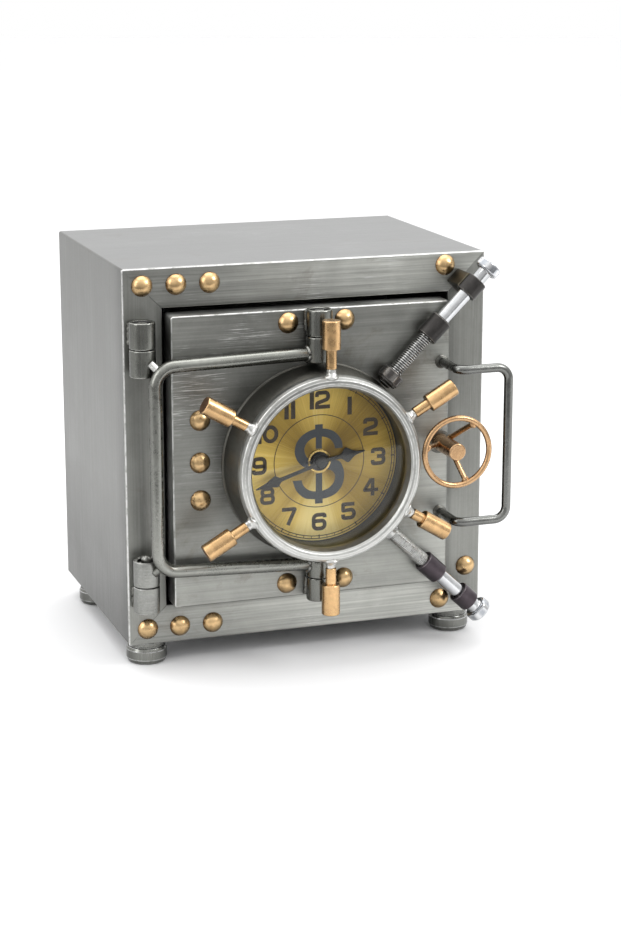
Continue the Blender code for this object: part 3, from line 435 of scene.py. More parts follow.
# painted light: the ring is painted darker at the top and paler towards the bottom
MAT["ring"] = metal("ring_brushed_steel", (0.37, 0.373, 0.357, 1), 0.43, None, 0.05, 0.07,
                    wear_col=(0.85, 0.85, 0.83, 1), wear=0.75, spots=lin("7d7668"), spot_amt=0.14, bump=0.12,
                    tone=0.0, painted_light_gradient=("Z", P(0, 0, 145.0).z, P(0, 0, 58.0).z, 0.82, 1.48), seed=16, grain=0.06)
MAT["ring_in"] = metal("ring_inner_bevel", (0.24, 0.24, 0.23, 1), 0.40, None, 0.06, 0.1, bump=0.1, seed=17)
MAT["brass"] = metal("rivet_brass", (0.64, 0.44, 0.225, 1), 0.31, None, 0.10, 0.22,
                     wear_col=(0.30, 0.155, 0.065, 1), wear=0.75, spots=lin("7a5030"), spot_amt=0.35, bump=0.25,
                     tone=0.9, seed=18, cloud_scale=160.0, spot_scale=220.0)
MAT["copper"] = metal("peg_copper", (0.63, 0.405, 0.20, 1), 0.27, None, 0.12, 0.16,
                      wear_col=(0.88, 0.68, 0.42, 1), wear=0.6, spots=lin("8a5a38"), spot_amt=0.2, bump=0.15,
                      tone=0.75, seed=19, cloud_scale=90.0, spot_scale=120.0)
# painted shade: the pegs' end faces turned away from the light are painted dark brown
MAT["copper_end_painted_shade"] = metal("peg_end_face_painted_shade", (0.30, 0.165, 0.085, 1), 0.38, None, 0.1, 0.2,
                          wear_col=(0.85, 0.6, 0.38, 1), wear=0.9, spots=lin("4a2c1a"), spot_amt=0.4, bump=0.2,
                          seed=20, cloud_scale=120.0, spot_scale=160.0)
MAT["wheel"] = metal("wheel_copper", (0.58, 0.365, 0.195, 1), 0.27, None, 0.08, 0.12,
                     wear_col=(0.88, 0.62, 0.4, 1), wear=0.5, spots=lin("6e4227"), spot_amt=0.35, bump=0.2,
                     tone=0.5, seed=21, cloud_scale=120.0, spot_scale=140.0)
MAT["zinc"] = metal("bolt_bright_zinc", (0.66, 0.67, 0.68, 1), 0.16, None, 0.05, 0.10,
                    wear_col=(0.95, 0.95, 0.95, 1), wear=0.5, spots=lin("8b8478"), spot_amt=0.12, bump=0.1,
                    tone=0.8, seed=22, cloud_scale=70.0)
MAT["thread"] = metal("bolt_thread_zinc", (0.26, 0.262, 0.255, 1), 0.26, None, 0.10, 0.15,
                      wear_col=(0.80, 0.80, 0.79, 1), wear=1.0, spots=lin("6a6458"), spot_amt=0.15, bump=0.1,
                      tone=0.8, seed=41, cloud_scale=90.0)
MAT["shank_low"] = metal("bolt_shank_grained", (0.44, 0.445, 0.43, 1), 0.30, None, 0.10, 0.15,
                         wear_col=(0.75, 0.75, 0.73, 1), wear=0.8, spots=lin("5c584c"), spot_amt=0.25, bump=0.3,
                         grain=0.35, tone=0.9, seed=42, cloud_scale=120.0)
MAT["zinc_head"] = metal("bolt_head_zinc", (0.42, 0.44, 0.47, 1), 0.24, None, 0.08, 0.12,
                         wear_col=(0.9, 0.9, 0.9, 1), wear=0.8, spots=lin("7d766c"), spot_amt=0.2, bump=0.15,
                         tone=0.5, seed=23, cloud_scale=90.0)
MAT["black"] = metal("nut_black", (0.07, 0.066, 0.064, 1), 0.30, None, 0.12, 0.2,
                     wear_col=(0.45, 0.43, 0.4, 1), wear=0.5, spots=lin("3a2a1c"), spot_amt=0.5, bump=0.3,
                     tone=0.8, seed=24, cloud_scale=90.0, spot_scale=110.0, metallic=0.85)
MAT["collar_up"] = metal("collar_black", (0.05, 0.047, 0.045, 1), 0.38, None, 0.12, 0.2,
                         wear_col=(0.5, 0.48, 0.44, 1), wear=0.5, spots=lin("4a412c"), spot_amt=0.5, bump=0.3,
                         tone=0.8, seed=25, cloud_scale=90.0, spot_scale=90.0, metallic=0.9)
MAT["olive"] = metal("standoff_olive", (0.062, 0.054, 0.036, 1), 0.42, None, 0.14, 0.22,
                     wear_col=(0.4, 0.37, 0.3, 1), wear=0.5, spots=lin("57503a"), spot_amt=0.5, bump=0.35,
                     tone=0.8, seed=26, cloud_scale=110.0, metallic=0.85)
MAT["collar_low"] = metal("collar_plum", (0.075, 0.062, 0.07, 1), 0.36, None, 0.12, 0.2,
                          wear_col=(0.5, 0.46, 0.48, 1), wear=0.6, spots=lin("3b2d30"), spot_amt=0.4, bump=0.3,
                          tone=0.8, seed=27, cloud_scale=90.0, metallic=0.9)
MAT["hand"] = metal("hand_black_paint", (0.010, 0.010, 0.011, 1), 0.62, None, 0.05, 0.1,
                    wear_col=(0.2, 0.18, 0.14, 1), wear=0.10, bump=0.1, seed=28, metallic=0.0)
MAT["motif"] = metal("dial_motif_paint", lin("363a40"), 0.42, None, 0.08, 0.08, bump=0.12, seed=29,
                     metallic=0.15, wear_col=(0.6, 0.55, 0.42, 1), wear=0.25)
MAT["numeral"] = metal("dial_numeral_paint", lin("372c20"), 0.42, None, 0.08, 0.08, bump=0.12, seed=30,
                       metallic=0.15)
MAT["gold"] = metal("dial_gold_trim", (0.72, 0.50, 0.17, 1), 0.26, None, 0.06, 0.08, bump=0.1, seed=31,
                    wear_col=(0.95, 0.82, 0.5, 1), wear=0.6)
MAT["plastic"] = metal("movement_plastic", (0.014, 0.014, 0.015, 1), 0.5, None, 0.06, 0.1, bump=0.25,
                       seed=32, metallic=0.0, grain=0.06)
MAT["cover"] = metal("door_cover_steel", (0.16, 0.16, 0.158, 1), 0.45, "x", 0.12, 0.12, bump=0.2, seed=33)
MAT["cam"] = metal("cam_zinc", (0.6, 0.6, 0.6, 1), 0.28, "z", 0.1, 0.1, bump=0.2, seed=34)


def dial_material():
    """Gold lacquered dial with a sunray: tone and gloss turn with the angle round the middle; the sunray's sheen is
    painted in as a painted reflection, and the gold darkens towards the middle.
    """
    t = Tree("dial_gold_sunray")
    c = P(1.3, 15.0, 98.9)
    xyz = t.separate()
    dx = t.math('SUBTRACT', xyz[0], c.x)
    dz = t.math('SUBTRACT', xyz[2], c.z)
    ang = t.math('ARCTAN2', dx, dz)                      # 0 at twelve, clockwise positive
    rad = t.math('SQRT', t.math('ADD', t.math('MULTIPLY', dx, dx), t.math('MULTIPLY', dz, dz)))
    comb = t.t.nodes.new("ShaderNodeCombineXYZ")
    t.link(t.math('MULTIPLY', t.math('SINE', ang), 60.0), comb.inputs[0])
    t.link(t.math('MULTIPLY', t.math('COSINE', ang), 60.0), comb.inputs[1])
    t.link(t.math('MULTIPLY', rad, 18.0), comb.inputs[2])
    fine = t.noise(comb.outputs[0], 1.0, 4.0, 0.7)
    comb2 = t.t.nodes.new("ShaderNodeCombineXYZ")
    t.link(t.math('MULTIPLY', t.math('SINE', ang), 7.0), comb2.inputs[0])
    t.link(t.math('MULTIPLY', t.math('COSINE', ang), 7.0), comb2.inputs[1])
    broad = t.noise(comb2.outputs[0], 1.0, 3.0, 0.6)
    # painted reflection of the sunray sheen: bright lobes at six, nine and twelve, dark ones at half past ten and two
    lobes = t.math('MULTIPLY', t.math('COSINE', t.math('MULTIPLY', ang, 4.0)), 0.5)
    vert = t.math('ABSOLUTE', t.math('COSINE', ang))
    # painted reflection: the right side painted darker and the lower part paler
    right = t.maprange(t.math('SINE', ang), -1.0, 1.0, 0.5, -0.6)
    s = t.math('ADD', t.math('MULTIPLY', lobes, 0.72), t.math('MULTIPLY', vert, 0.35))
    s = t.math('ADD', s, t.math('MULTIPLY', right, 0.35))
    low = t.maprange(t.math('COSINE', ang), -1.0, 0.6, 0.30, -0.05)
    s = t.math('ADD', s, low)
    s = t.math('ADD', s, t.maprange(fine, 0.3, 0.7, -0.16, 0.16))
    s = t.math('ADD', s, t.maprange(broad, 0.3, 0.7, -0.12, 0.12))
    col = t.ramp(t.maprange(s, -0.55, 0.95, 0.0, 1.0),
                 [(0.0, (0.22, 0.13, 0.018, 1)), (0.40, (0.44, 0.285, 0.045, 1)),
                  (0.75, (0.80, 0.56, 0.13, 1)), (1.0, (1.0, 0.80, 0.32, 1))])
    col = t.mix(1.0, col, t.ramp(t.maprange(rad, 0.007, 0.034, 0.0, 1.0),
                                 [(0.0, (0.40, 0.37, 0.28, 1)), (1.0, (0.93, 0.93, 0.92, 1))]), 'MULTIPLY')
    t.set("Base Color", col)
    t.set("Metallic", 0.45)
    t.set("Roughness", t.maprange(fine, 0.3, 0.7, 0.36, 0.46))
    t.set("Normal", t.bump(fine, 0.15, 0.00004))
    return t.mat


MAT["dial"] = dial_material()


def glass_material():
    t = Tree("clock_glass_clear")
    nodes = t.t.nodes
    out = nodes["Material Output"]
    nodes.remove(t.bsdf)
    clear = nodes.new("ShaderNodeBsdfTransparent")
    clear.inputs["Color"].default_value = (0.97, 0.975, 0.97, 1)
    gl = nodes.new("ShaderNodeBsdfGlossy")
    gl.inputs["Roughness"].default_value = 0.03
    n = t.noise(t.mapping((1, 1, 1)), 60.0, 3.0, 0.5)
    col = t.ramp(n, [(0.3, (0.70, 0.72, 0.72, 1)), (0.7, (0.78, 0.78, 0.78, 1))])
    t.link(col, gl.inputs["Color"])
    lw = nodes.new("ShaderNodeLayerWeight")
    lw.inputs["Blend"].default_value = 0.5
    # a thin pane: about 2 % mirrored square on, rising steeply only near grazing, alike from both sides
    fr = t.math('ADD', t.math('MULTIPLY', t.math('POWER', lw.outputs["Facing"], 4.5), 0.8), 0.026)
    mx = nodes.new("ShaderNodeMixShader")
    t.link(fr, mx.inputs[0])
    t.link(clear.outputs[0], mx.inputs[1])
    t.link(gl.outputs[0], mx.inputs[2])
    t.link(mx.outputs[0], out.inputs["Surface"])
    return t.mat


MAT["glass"] = glass_material()


def battery_material():
    t = Tree("battery_sleeve")
    xyz = t.separate()
    n = t.noise(t.mapping((1, 1, 1)), 140.0, 4.0, 0.6)
    body = t.mix(t.maprange(n, 0.3, 0.7, 0.0, 0.4), (0.015, 0.015, 0.016, 1), (0.04, 0.038, 0.036, 1))
    cop = t.mix(t.maprange(n, 0.3, 0.7, 0.0, 0.5), (0.62, 0.30, 0.10, 1), (0.75, 0.42, 0.17, 1))
    m = t.maprange(xyz[0], P(12.0, 0, 0).x, P(12.6, 0, 0).x, 0.0, 1.0)
    t.set("Base Color", t.mix(m, body, cop))
    t.set("Metallic", 0.35)
    t.set("Roughness", t.maprange(n, 0.3, 0.7, 0.25, 0.4))
    t.set("Normal", t.bump(n, 0.1, 0.0001))
    return t.mat


MAT["battery"] = battery_material()


# =====================================================================================
# Mesh building
# =====================================================================================
# Painted shading: handled metal is painted darker underneath and at its sides than on top and in front, where the
# light falls.
PAINTED_SHADE_DIR = Vector((0.05, -0.45, 0.40))


class Build:
    """Collects vertices (row frame, metres), faces, a material number a face and wear a vertex."""

    def __init__(self):
        self.v, self.w, self.f, self.m = [], [], [], []

    def add(self, pts, wear=None):
        i0 = len(self.v)
        for i, p in enumerate(pts):
            self.v.append(Vector(p))
            self.w.append(0.0 if wear is None else float(wear[i]))
        return i0

    def face(self, idx, m=0):
        self.f.append(tuple(idx))
        self.m.append(m)

    def rings(self, rings, wears=None, mats=None, closed=False, cap0=True, cap1=True, wrap=True):
        """rings: lists of equal length of row-frame points; quads between following rings."""
        n = len(rings[0])
        start = []
        for i, r in enumerate(rings):
            start.append(self.add(r, None if wears is None else
                                  (wears[i] if hasattr(wears[i], "__len__") else [wears[i]] * n)))
        k = len(rings)
        for i in range(k if closed else k - 1):
            a, b = start[i], start[(i + 1) % k]
            m = 0 if mats is None else mats[i]
            for j in range(n if wrap else n - 1):
                j2 = (j + 1) % n
                self.face((a + j, a + j2, b + j2, b + j), m)
        if not closed:
            if cap0:
                self.face(list(reversed(range(start[0], start[0] + n))), 0 if mats is None else mats[0])
            if cap1:
                self.face(list(range(start[-1], start[-1] + n)), 0 if mats is None else mats[-1])
        return start

    def obj(self, name, body, mats, replaces=(), slot=None, angle=40.0, weld=0.0):
        bm = bmesh.new()
        lay = bm.verts.layers.float.new("wear")
        painted_shade_layer = bm.verts.layers.float.new("tone")
        vs = [bm.verts.new(p) for p in self.v]
        for v, w in zip(vs, self.w):
            v[lay] = w
        for idx, m in zip(self.f, self.m):
            try:
                fc = bm.faces.new([vs[i] for i in idx])
                fc.material_index = m
            except ValueError:
                pass
        if weld:
            bmesh.ops.remove_doubles(bm, verts=bm.verts, dist=weld)
        loose = [v for v in bm.verts if not v.link_faces]
        if loose:
            bmesh.ops.delete(bm, geom=loose, context='VERTS')
        big = [fc for fc in bm.faces if len(fc.verts) > 4]
        if big:
            bmesh.ops.triangulate(bm, faces=big)
        bmesh.ops.recalc_face_normals(bm, faces=bm.faces)
        bm.normal_update()
        for v in bm.verts:
            # painted shading: tone holds how far each vertex faces up and forward, towards the light
            v[painted_shade_layer] = min(1.0, max(0.0, 0.30 + v.normal.dot(PAINTED_SHADE_DIR)))
        me = bpy.data.meshes.new(name)
        bm.to_mesh(me)
        bm.free()
        for mm in mats:
            me.materials.append(MAT[mm])
        me.shade_smooth()
        me.set_sharp_from_angle(angle=math.radians(angle))
        o = bpy.data.objects.new(name, me)
        bpy.context.scene.collection.objects.link(o)
        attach(o, body)
        if replaces:
            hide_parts(*replaces)
        return o


def fillet(pts, radii, steps=4, closed=True, support=0.25):
    """Rounds the corners of a 2D polyline. Returns [(a, b, wear), ...]."""
    n = len(pts)
    out = []
    for i in range(n):
        b = Vector(pts[i])
        r = radii[i] if hasattr(radii, "__len__") else radii
        if (not closed and i in (0, n - 1)) or r <= 0:
            out.append((b.x, b.y, 0.0))
            continue
        a, c = Vector(pts[i - 1]), Vector(pts[(i + 1) % n])
        la, lc = (a - b).length, (c - b).length
        u, v = (a - b).normalized(), (c - b).normalized()
        ang = math.acos(max(-1.0, min(1.0, u.dot(v))))
        if ang > math.radians(176):
            out.append((b.x, b.y, 0.0))
            continue
        tt = r / math.tan(ang / 2)
        tmax = 0.48 * min(la, lc)
        if tt > tmax:
            tt = tmax
            r = tt * math.tan(ang / 2)
        centre = b + (u + v).normalized() * (r / math.sin(ang / 2))
        p0, p1 = b + u * tt, b + v * tt
        w0, w1 = (p0 - centre), (p1 - centre)
        total = math.acos(max(-1.0, min(1.0, w0.normalized().dot(w1.normalized()))))
        if total < 1e-5:
            out.append((b.x, b.y, 0.0))
            continue
        prev = a - b
        if la - tt > 4 * support:
            q = b + u * (tt + support)
            out.append((q.x, q.y, 0.0))
        for k in range(steps + 1):
            s = k / steps
            w = (w0 * math.sin((1 - s) * total) + w1 * math.sin(s * total)) / math.sin(total)
            q = centre + w
            out.append((q.x, q.y, math.sin(math.pi * s)))
        if lc - tt > 4 * support:
            q = b + v * (tt + support)
            out.append((q.x, q.y, 0.0))
    return out


def revolve(B, prof, M, segs=48, closed=True, mats=None, jitter=None, rot0=0.0):
    """prof: [(r, z, wear)] in mm, turned about local Z of M. Points with r 0 become poles."""
    rings, starts = [], []
    n = segs
    for (r, z, *w) in prof:
        wv = w[0] if w else 0.0
        if r < 1e-6:
            starts.append((B.add([M @ Vector((0, 0, z))], [wv]), 1))
        else:
            pts = []
            for j in range(n):
                a = rot0 + 2 * math.pi * j / n
                rr = r
                zz = z
                if jitter is not None:
                    rr, zz = jitter(a, r, z)
                pts.append(M @ Vector((rr * math.cos(a), rr * math.sin(a), zz)))
            starts.append((B.add(pts, [wv] * n), n))
    k = len(prof)
    for i in range(k if closed else k - 1):
        (a, na), (b, nb) = starts[i], starts[(i + 1) % k]
        m = 0 if mats is None else mats(prof[i], prof[(i + 1) % k])
        if na == 1 and nb == 1:
            continue
        for j in range(n):
            j2 = (j + 1) % n
            if na == 1:
                B.face((a, b + j2, b + j), m)
            elif nb == 1:
                B.face((a + j, a + j2, b), m)
            else:
                B.face((a + j, a + j2, b + j2, b + j), m)


def tube(B, path, radius, segs=20, caps=True, rfun=None, mat=0, up=None):
    """A swept round rod. path in layout mm, or row-frame Vectors if up is 'row'."""
    pts = [p if up == 'row' else P(*p) for p in path]
    n = len(pts)
    tang = []
    for i in range(n):
        a, b = pts[max(0, i - 1)], pts[min(n - 1, i + 1)]
        tang.append((b - a).normalized())
    ref = Vector((0, 0, 1)) if abs(tang[0].z) < 0.9 else Vector((1, 0, 0))
    x = ref.cross(tang[0]).normalized()
    rings = []
    for i in range(n):
        if i:
            axis = tang[i - 1].cross(tang[i])
            if axis.length > 1e-9:
                ang = tang[i - 1].angle(tang[i])
                x = Matrix.Rotation(ang, 3, axis.normalized()) @ x
            x = (x - tang[i] * x.dot(tang[i])).normalized()
        y = tang[i].cross(x)
        r = (rfun(i, n) if rfun else radius) / 1000.0
        rings.append([pts[i] + x * (r * math.cos(2 * math.pi * j / segs)) +
                      y * (r * math.sin(2 * math.pi * j / segs)) for j in range(segs)])
    starts = []
    for r in rings:
        starts.append(B.add(r))
    for i in range(n - 1):
        a, b = starts[i], starts[i + 1]
        for j in range(segs):
            j2 = (j + 1) % segs
            B.face((a + j, a + j2, b + j2, b + j), mat)
    if caps:
        B.face(list(reversed(range(starts[0], starts[0] + segs))), mat)
        B.face(list(range(starts[-1], starts[-1] + segs)), mat)


def arc_points(path, radii, steps=10, cut=None):
    out = [Vector(path[0])]
    for i in range(1, len(path) - 1):
        a, b, c = Vector(path[i - 1]), Vector(path[i]), Vector(path[i + 1])
        u, v = (a - b).normalized(), (c - b).normalized()
        ang = math.acos(max(-1.0, min(1.0, u.dot(v))))
        r = radii[i - 1]
        t = r / math.tan(ang / 2)
        centre = b + (u + v).normalized() * (r / math.sin(ang / 2))
        p0, p1 = b + u * t, b + v * t
        w0, w1 = (p0 - centre), (p1 - centre)
        total = math.acos(max(-1.0, min(1.0, w0.normalized().dot(w1.normalized()))))
        for k in range(steps + 1):
            s = k / steps
            out.append(centre + (w0 * math.sin((1 - s) * total) + w1 * math.sin(s * total)) / math.sin(total))
    out.append(Vector(path[-1]))
    return out


def densify(path, step):
    out = [Vector(path[0])]
    for a, b in zip(path[:-1], path[1:]):
        a, b = Vector(a), Vector(b)
        n = max(1, int((b - a).length / step))
        for k in range(1, n + 1):
            out.append(a.lerp(b, k / n))
    return out


def bead(B, path, radius, seed=0, segs=12, step=0.7, amp=0.35, mat=0, squash=None):
    """A weld bead: a lumpy rounded strip along a path in layout mm, closed at both ends."""
    pts = densify(path, step)
    n = len(pts)
    rows = []
    lump = []
    for i, p in enumerate(pts):
        q = noise.noise(Vector((seed * 3.1 + i * 0.55, seed, 0.3)))
        q2 = noise.noise(Vector((seed * 1.7, i * 1.3, seed * 0.37)))
        end = min(1.0, math.sqrt(max(0.0, 1 - (1 - min(i, n - 1 - i) * step / radius) ** 2))
                  if min(i, n - 1 - i) * step < radius else 1.0)
        lump.append(max(0.12, end) * radius * (1 + amp * (1.2 * q + 0.8 * q2)))
    wob = []
    for i, p in enumerate(pts):
        wob.append(p + Vector((noise.noise(Vector((i * 0.4, seed, 7))), 0.25 * noise.noise(Vector((i * 0.4, 3, seed))),
                               noise.noise(Vector((i * 0.4, 9, seed))))) * radius * 0.35)
    tube(B, wob, radius, segs, True, lambda i, n_: lump[i], mat)


def blob(B, centre, radii, seed=0, amp=0.2, mat=0, segs=18, rows=10, M=None):
    """A lumpy closed drop, centre in layout mm, radii along x, h, z."""
    c = Vector(centre)
    start = []
    for i in range(rows + 1):
        th = math.pi * i / rows
        if i in (0, rows):
            d = Vector((0, 0, math.cos(th)))
            k = 1 + amp * noise.noise(Vector((seed, d.z * 2, 1)))
            start.append((B.add([P(c.x, c.y, c.z + radii[2] * d.z * k)]), 1))
            continue
        pts = []
        for j in range(segs):
            a = 2 * math.pi * j / segs
            d = Vector((math.sin(th) * math.cos(a), math.sin(th) * math.sin(a), math.cos(th)))
            k = 1 + amp * 1.6 * noise.noise(d * 1.7 + Vector((seed * 1.9, seed, 0)))
            pts.append(P(c.x + radii[0] * d.x * k, c.y + radii[1] * d.y * k, c.z + radii[2] * d.z * k))
        start.append((B.add(pts), segs))
    for i in range(rows):
        (a, na), (b, nb) = start[i], start[i + 1]
        for j in range(segs):
            j2 = (j + 1) % segs
            if na == 1:
                B.face((a, b + j2, b + j), mat)
            elif nb == 1:
                B.face((a + j, a + j2, b), mat)
            else:
                B.face((a + j, a + j2, b + j2, b + j), mat)


def rrect(x0, x1, z0, z1, r, steps=5):
    """Points (x, z) round a rectangle with rounded corners, counter-clockwise seen from the front."""
    out = []
    r = max(r, 0.02)
    for cx, cz, a0 in ((x1 - r, z1 - r, 0), (x0 + r, z1 - r, 90), (x0 + r, z0 + r, 180), (x1 - r, z0 + r, 270)):
        for k in range(steps + 1):
            a = math.radians(a0 + 90.0 * k / steps)
            out.append((cx + r * math.cos(a), cz + r * math.sin(a)))
    return out


def fill(B, outer, holes, h, m=0, wear=0.0):
    """A flat face at height h between an outer loop and holes; every loop is [(x, z), ...]."""
    loops = [outer] + list(holes)
    idx = []
    for lp in loops:
        i0 = B.add([P(x, h, z) for x, z in lp], [wear] * len(lp))
        idx += list(range(i0, i0 + len(lp)))
    tris = tessellate_polygon([[Vector((x, z, 0)) for x, z in lp] for lp in loops])
    for a, b, c in tris:
        B.face((idx[a], idx[b], idx[c]), m)


def wall(B, loops_h, wears=None, mats=None):
    """Side walls between loops: [(loop, h), ...]; loops have equal length."""
    rings = [[P(x, h, z) for x, z in lp] for lp, h in loops_h]
    B.rings(rings, wears, mats, closed=False, cap0=False, cap1=False)


def slab(B, limits, corner, h0, h1, edge, holes=(), m_side=0, m_face=0, m_back=0, steps=4, hole_edge=0.2,
         back_edge=0.2):
    """A plate between h0 and h1 with rounded front edges. holes: functions inset -> loop."""
    x0, x1, z0, z1 = limits

    def loop(d):
        return rrect(x0 + d, x1 - d, z0 + d, z1 - d, max(corner - d, 0.05), 5)
    seq = [(loop(back_edge), h0, 0.0), (loop(back_edge * 0.3), h0 + back_edge * 0.3, 0.6),
           (loop(0), h0 + back_edge, 0.0)]
    seq.append((loop(0), max(h0 + back_edge + 0.05, h1 - edge - 0.25), 0.0))
    for k in range(steps + 1):
        a = math.pi / 2 * k / steps
        seq.append((loop(edge * (1 - math.cos(a))), h1 - edge + edge * math.sin(a), math.sin(math.pi * k / steps)))
    seq.append((loop(edge + 0.3), h1, 0.0))
    wall(B, [(lp, h) for lp, h, _ in seq], [w for _, _, w in seq],
         [m_side] * 4 + [m_side] * (steps) + [m_face])
    inner = []
    for f in holes:
        e = hole_edge
        hs = [(f(-e - 0.3), h1, 0.0), (f(-e), h1, 0.0), (f(-e * 0.3), h1 - e * 0.3, 0.8), (f(0), h1 - e, 0.0),
              (f(0), h0, 0.0)]
        wall(B, [(lp, h) for lp, h, _ in hs], [w for _, _, w in hs], [m_face, m_side, m_side, m_side])
        inner.append(hs[0][0])
    fill(B, seq[-1][0], inner, h1, m_face)
    fill(B, seq[0][0], [f(0) for f in holes], h0, m_back)


WELD = 0.000004

# =====================================================================================
# Case
# =====================================================================================
B = Build()
W2, CH = 102.5, 206.3
seq = []
h_f, h_b = -2.3, -145.9


def case_loop(d, r):
    return rrect(-W2 + d, W2 - d, d, CH - d, max(r, 0.1), 6)


for lp, h, w in (
        (case_loop(0.35, 1.0), h_b, 0), (case_loop(0.1, 1.2), h_b + 0.1, .6), (case_loop(0, 1.3), h_b + 0.4, 0),
        (case_loop(0, 1.3), h_b + 1.0, 0),
        (case_loop(0, 1.3), h_f - 1.0, 0), (case_loop(0, 1.3), h_f - 0.45, 0.0),
        (case_loop(0.13, 1.2), h_f - 0.13, 1.0), (case_loop(0.45, 1.0), h_f, 0.0),
        (case_loop(1.3, 0.4), h_f, 0.0), (case_loop(1.5, 0.3), h_f - 0.2, 0.0),
        (case_loop(1.5, 0.3), h_b + 0.2, 0.0), (case_loop(1.3, 0.4), h_b, 0.0)):
    seq.append((lp, h, w))
rings = [[P(x, h, z) for x, z in lp] for lp, h, _ in seq]
nr = len(rings[0])
start = [B.add(r, [s[2]] * nr) for r, s in zip(rings, seq)]
for i in range(len(rings)):
    a, b = start[i], start[(i + 1) % len(rings)]
    # the inside walls take the near-black inner steel, painted shade
    inside = i in (8, 9, 10)
    for j in range(nr):
        j2 = (j + 1) % nr
        x = (seq[0][0][j][0] + seq[0][0][j2][0]) / 2
        side = abs(x) > W2 - 1.2
        B.face((a + j, a + j2, b + j2, b + j), 2 if inside else (0 if side else 1))
case = B.obj("case_sheet_body", "case", ["side", "top", "inner"], ["case_shell"], "gunmetal", 35)

# back panel with its slot, a rolled lip round the slot and four flush screws
B = Build()


def slot_loop(d):
    return rrect(-19.0 + d, 19.0 - d, 167.0 + d, 173.0 - d, 2.9 - d * 0.9, 5)


def back_loop(d):
    return rrect(-W2 + d, W2 - d, d, CH - d, max(1.2 - d, 0.1), 5)


hb0, hb1 = -148.0, -146.2
bs = [(back_loop(0.2), hb1, 0), (back_loop(0), hb1 - 0.3, 0), (back_loop(0), hb0 + 0.7, 0),
      (back_loop(0.12), hb0 + 0.25, .8), (back_loop(0.6), hb0, 0), (back_loop(0.9), hb0, 0)]
wall(B, [(lp, h) for lp, h, _ in bs], [w for _, _, w in bs])
ss = [(slot_loop(-0.9), hb0, 0), (slot_loop(-0.6), hb0, 0), (slot_loop(-0.2), hb0 + 0.2, .9), (slot_loop(0), hb0 + 0.6, 0),
      (slot_loop(0), hb1, 0)]
wall(B, [(lp, h) for lp, h, _ in ss], [w for _, _, w in ss])


def circ(cx, cz, r, n=28):
    return [(cx + r * math.cos(2 * math.pi * k / n), cz + r * math.sin(2 * math.pi * k / n)) for k in range(n)]


screws = [(-92.0, 10.5), (92.0, 10.5), (-92.0, 195.8), (92.0, 195.8)]
fill(B, bs[-1][0], [ss[0][0]] + [circ(x, z, 3.6) for x, z in screws], hb0)
fill(B, bs[0][0], [slot_loop(0)], hb1)
for x, z in screws:
    wall(B, [(circ(x, z, 3.6), hb0), (circ(x, z, 2.6), hb0 + 0.8)])
    fill(B, circ(x, z, 2.6), [], hb0 + 0.8)
B.obj("back_panel_plate", "case", ["back"], ["back_panel"], "gunmetal", 35, WELD)
B = Build()
for x, z in screws:
    M = frame_z(P(x, hb0 + 0.78, z), V(0, -1, 0))
    pr = [(0, 0.62, 0), (1.6, 0.6, 0), (2.5, 0.48, .5), (3.1, 0.2, .8), (2.55, -0.0, 0), (0, 0.0, 0)]
    revolve(B, pr, M, 28, closed=False)
B.obj("back_panel_screws", "case", ["zinc_head"], (), "bright_zinc", 40, WELD)
B = Build()
for x, z in screws:
    for a in (0.6, 0.6 + math.pi / 2):
        d = Vector((math.cos(a), math.sin(a)))
        n_ = Vector((-d.y, d.x))
        q = [(x + d.x * s * 1.5 + n_.x * t * 0.28, z + d.y * s * 1.5 + n_.y * t * 0.28)
             for s, t in ((-1, -1), (1, -1), (1, 1), (-1, 1))]
        wall(B, [(q, hb0 + 0.3), (q, hb0 + 0.12)])
        fill(B, q, [], hb0 + 0.12)
        fill(B, q, [], hb0 + 0.3)
B.obj("back_screw_cross", "case", ["black"], (), "bright_zinc", 40, WELD)

# front frame: four mitred strips
OX, OZ0, OZ1 = 81.2, 21.3, 184.9


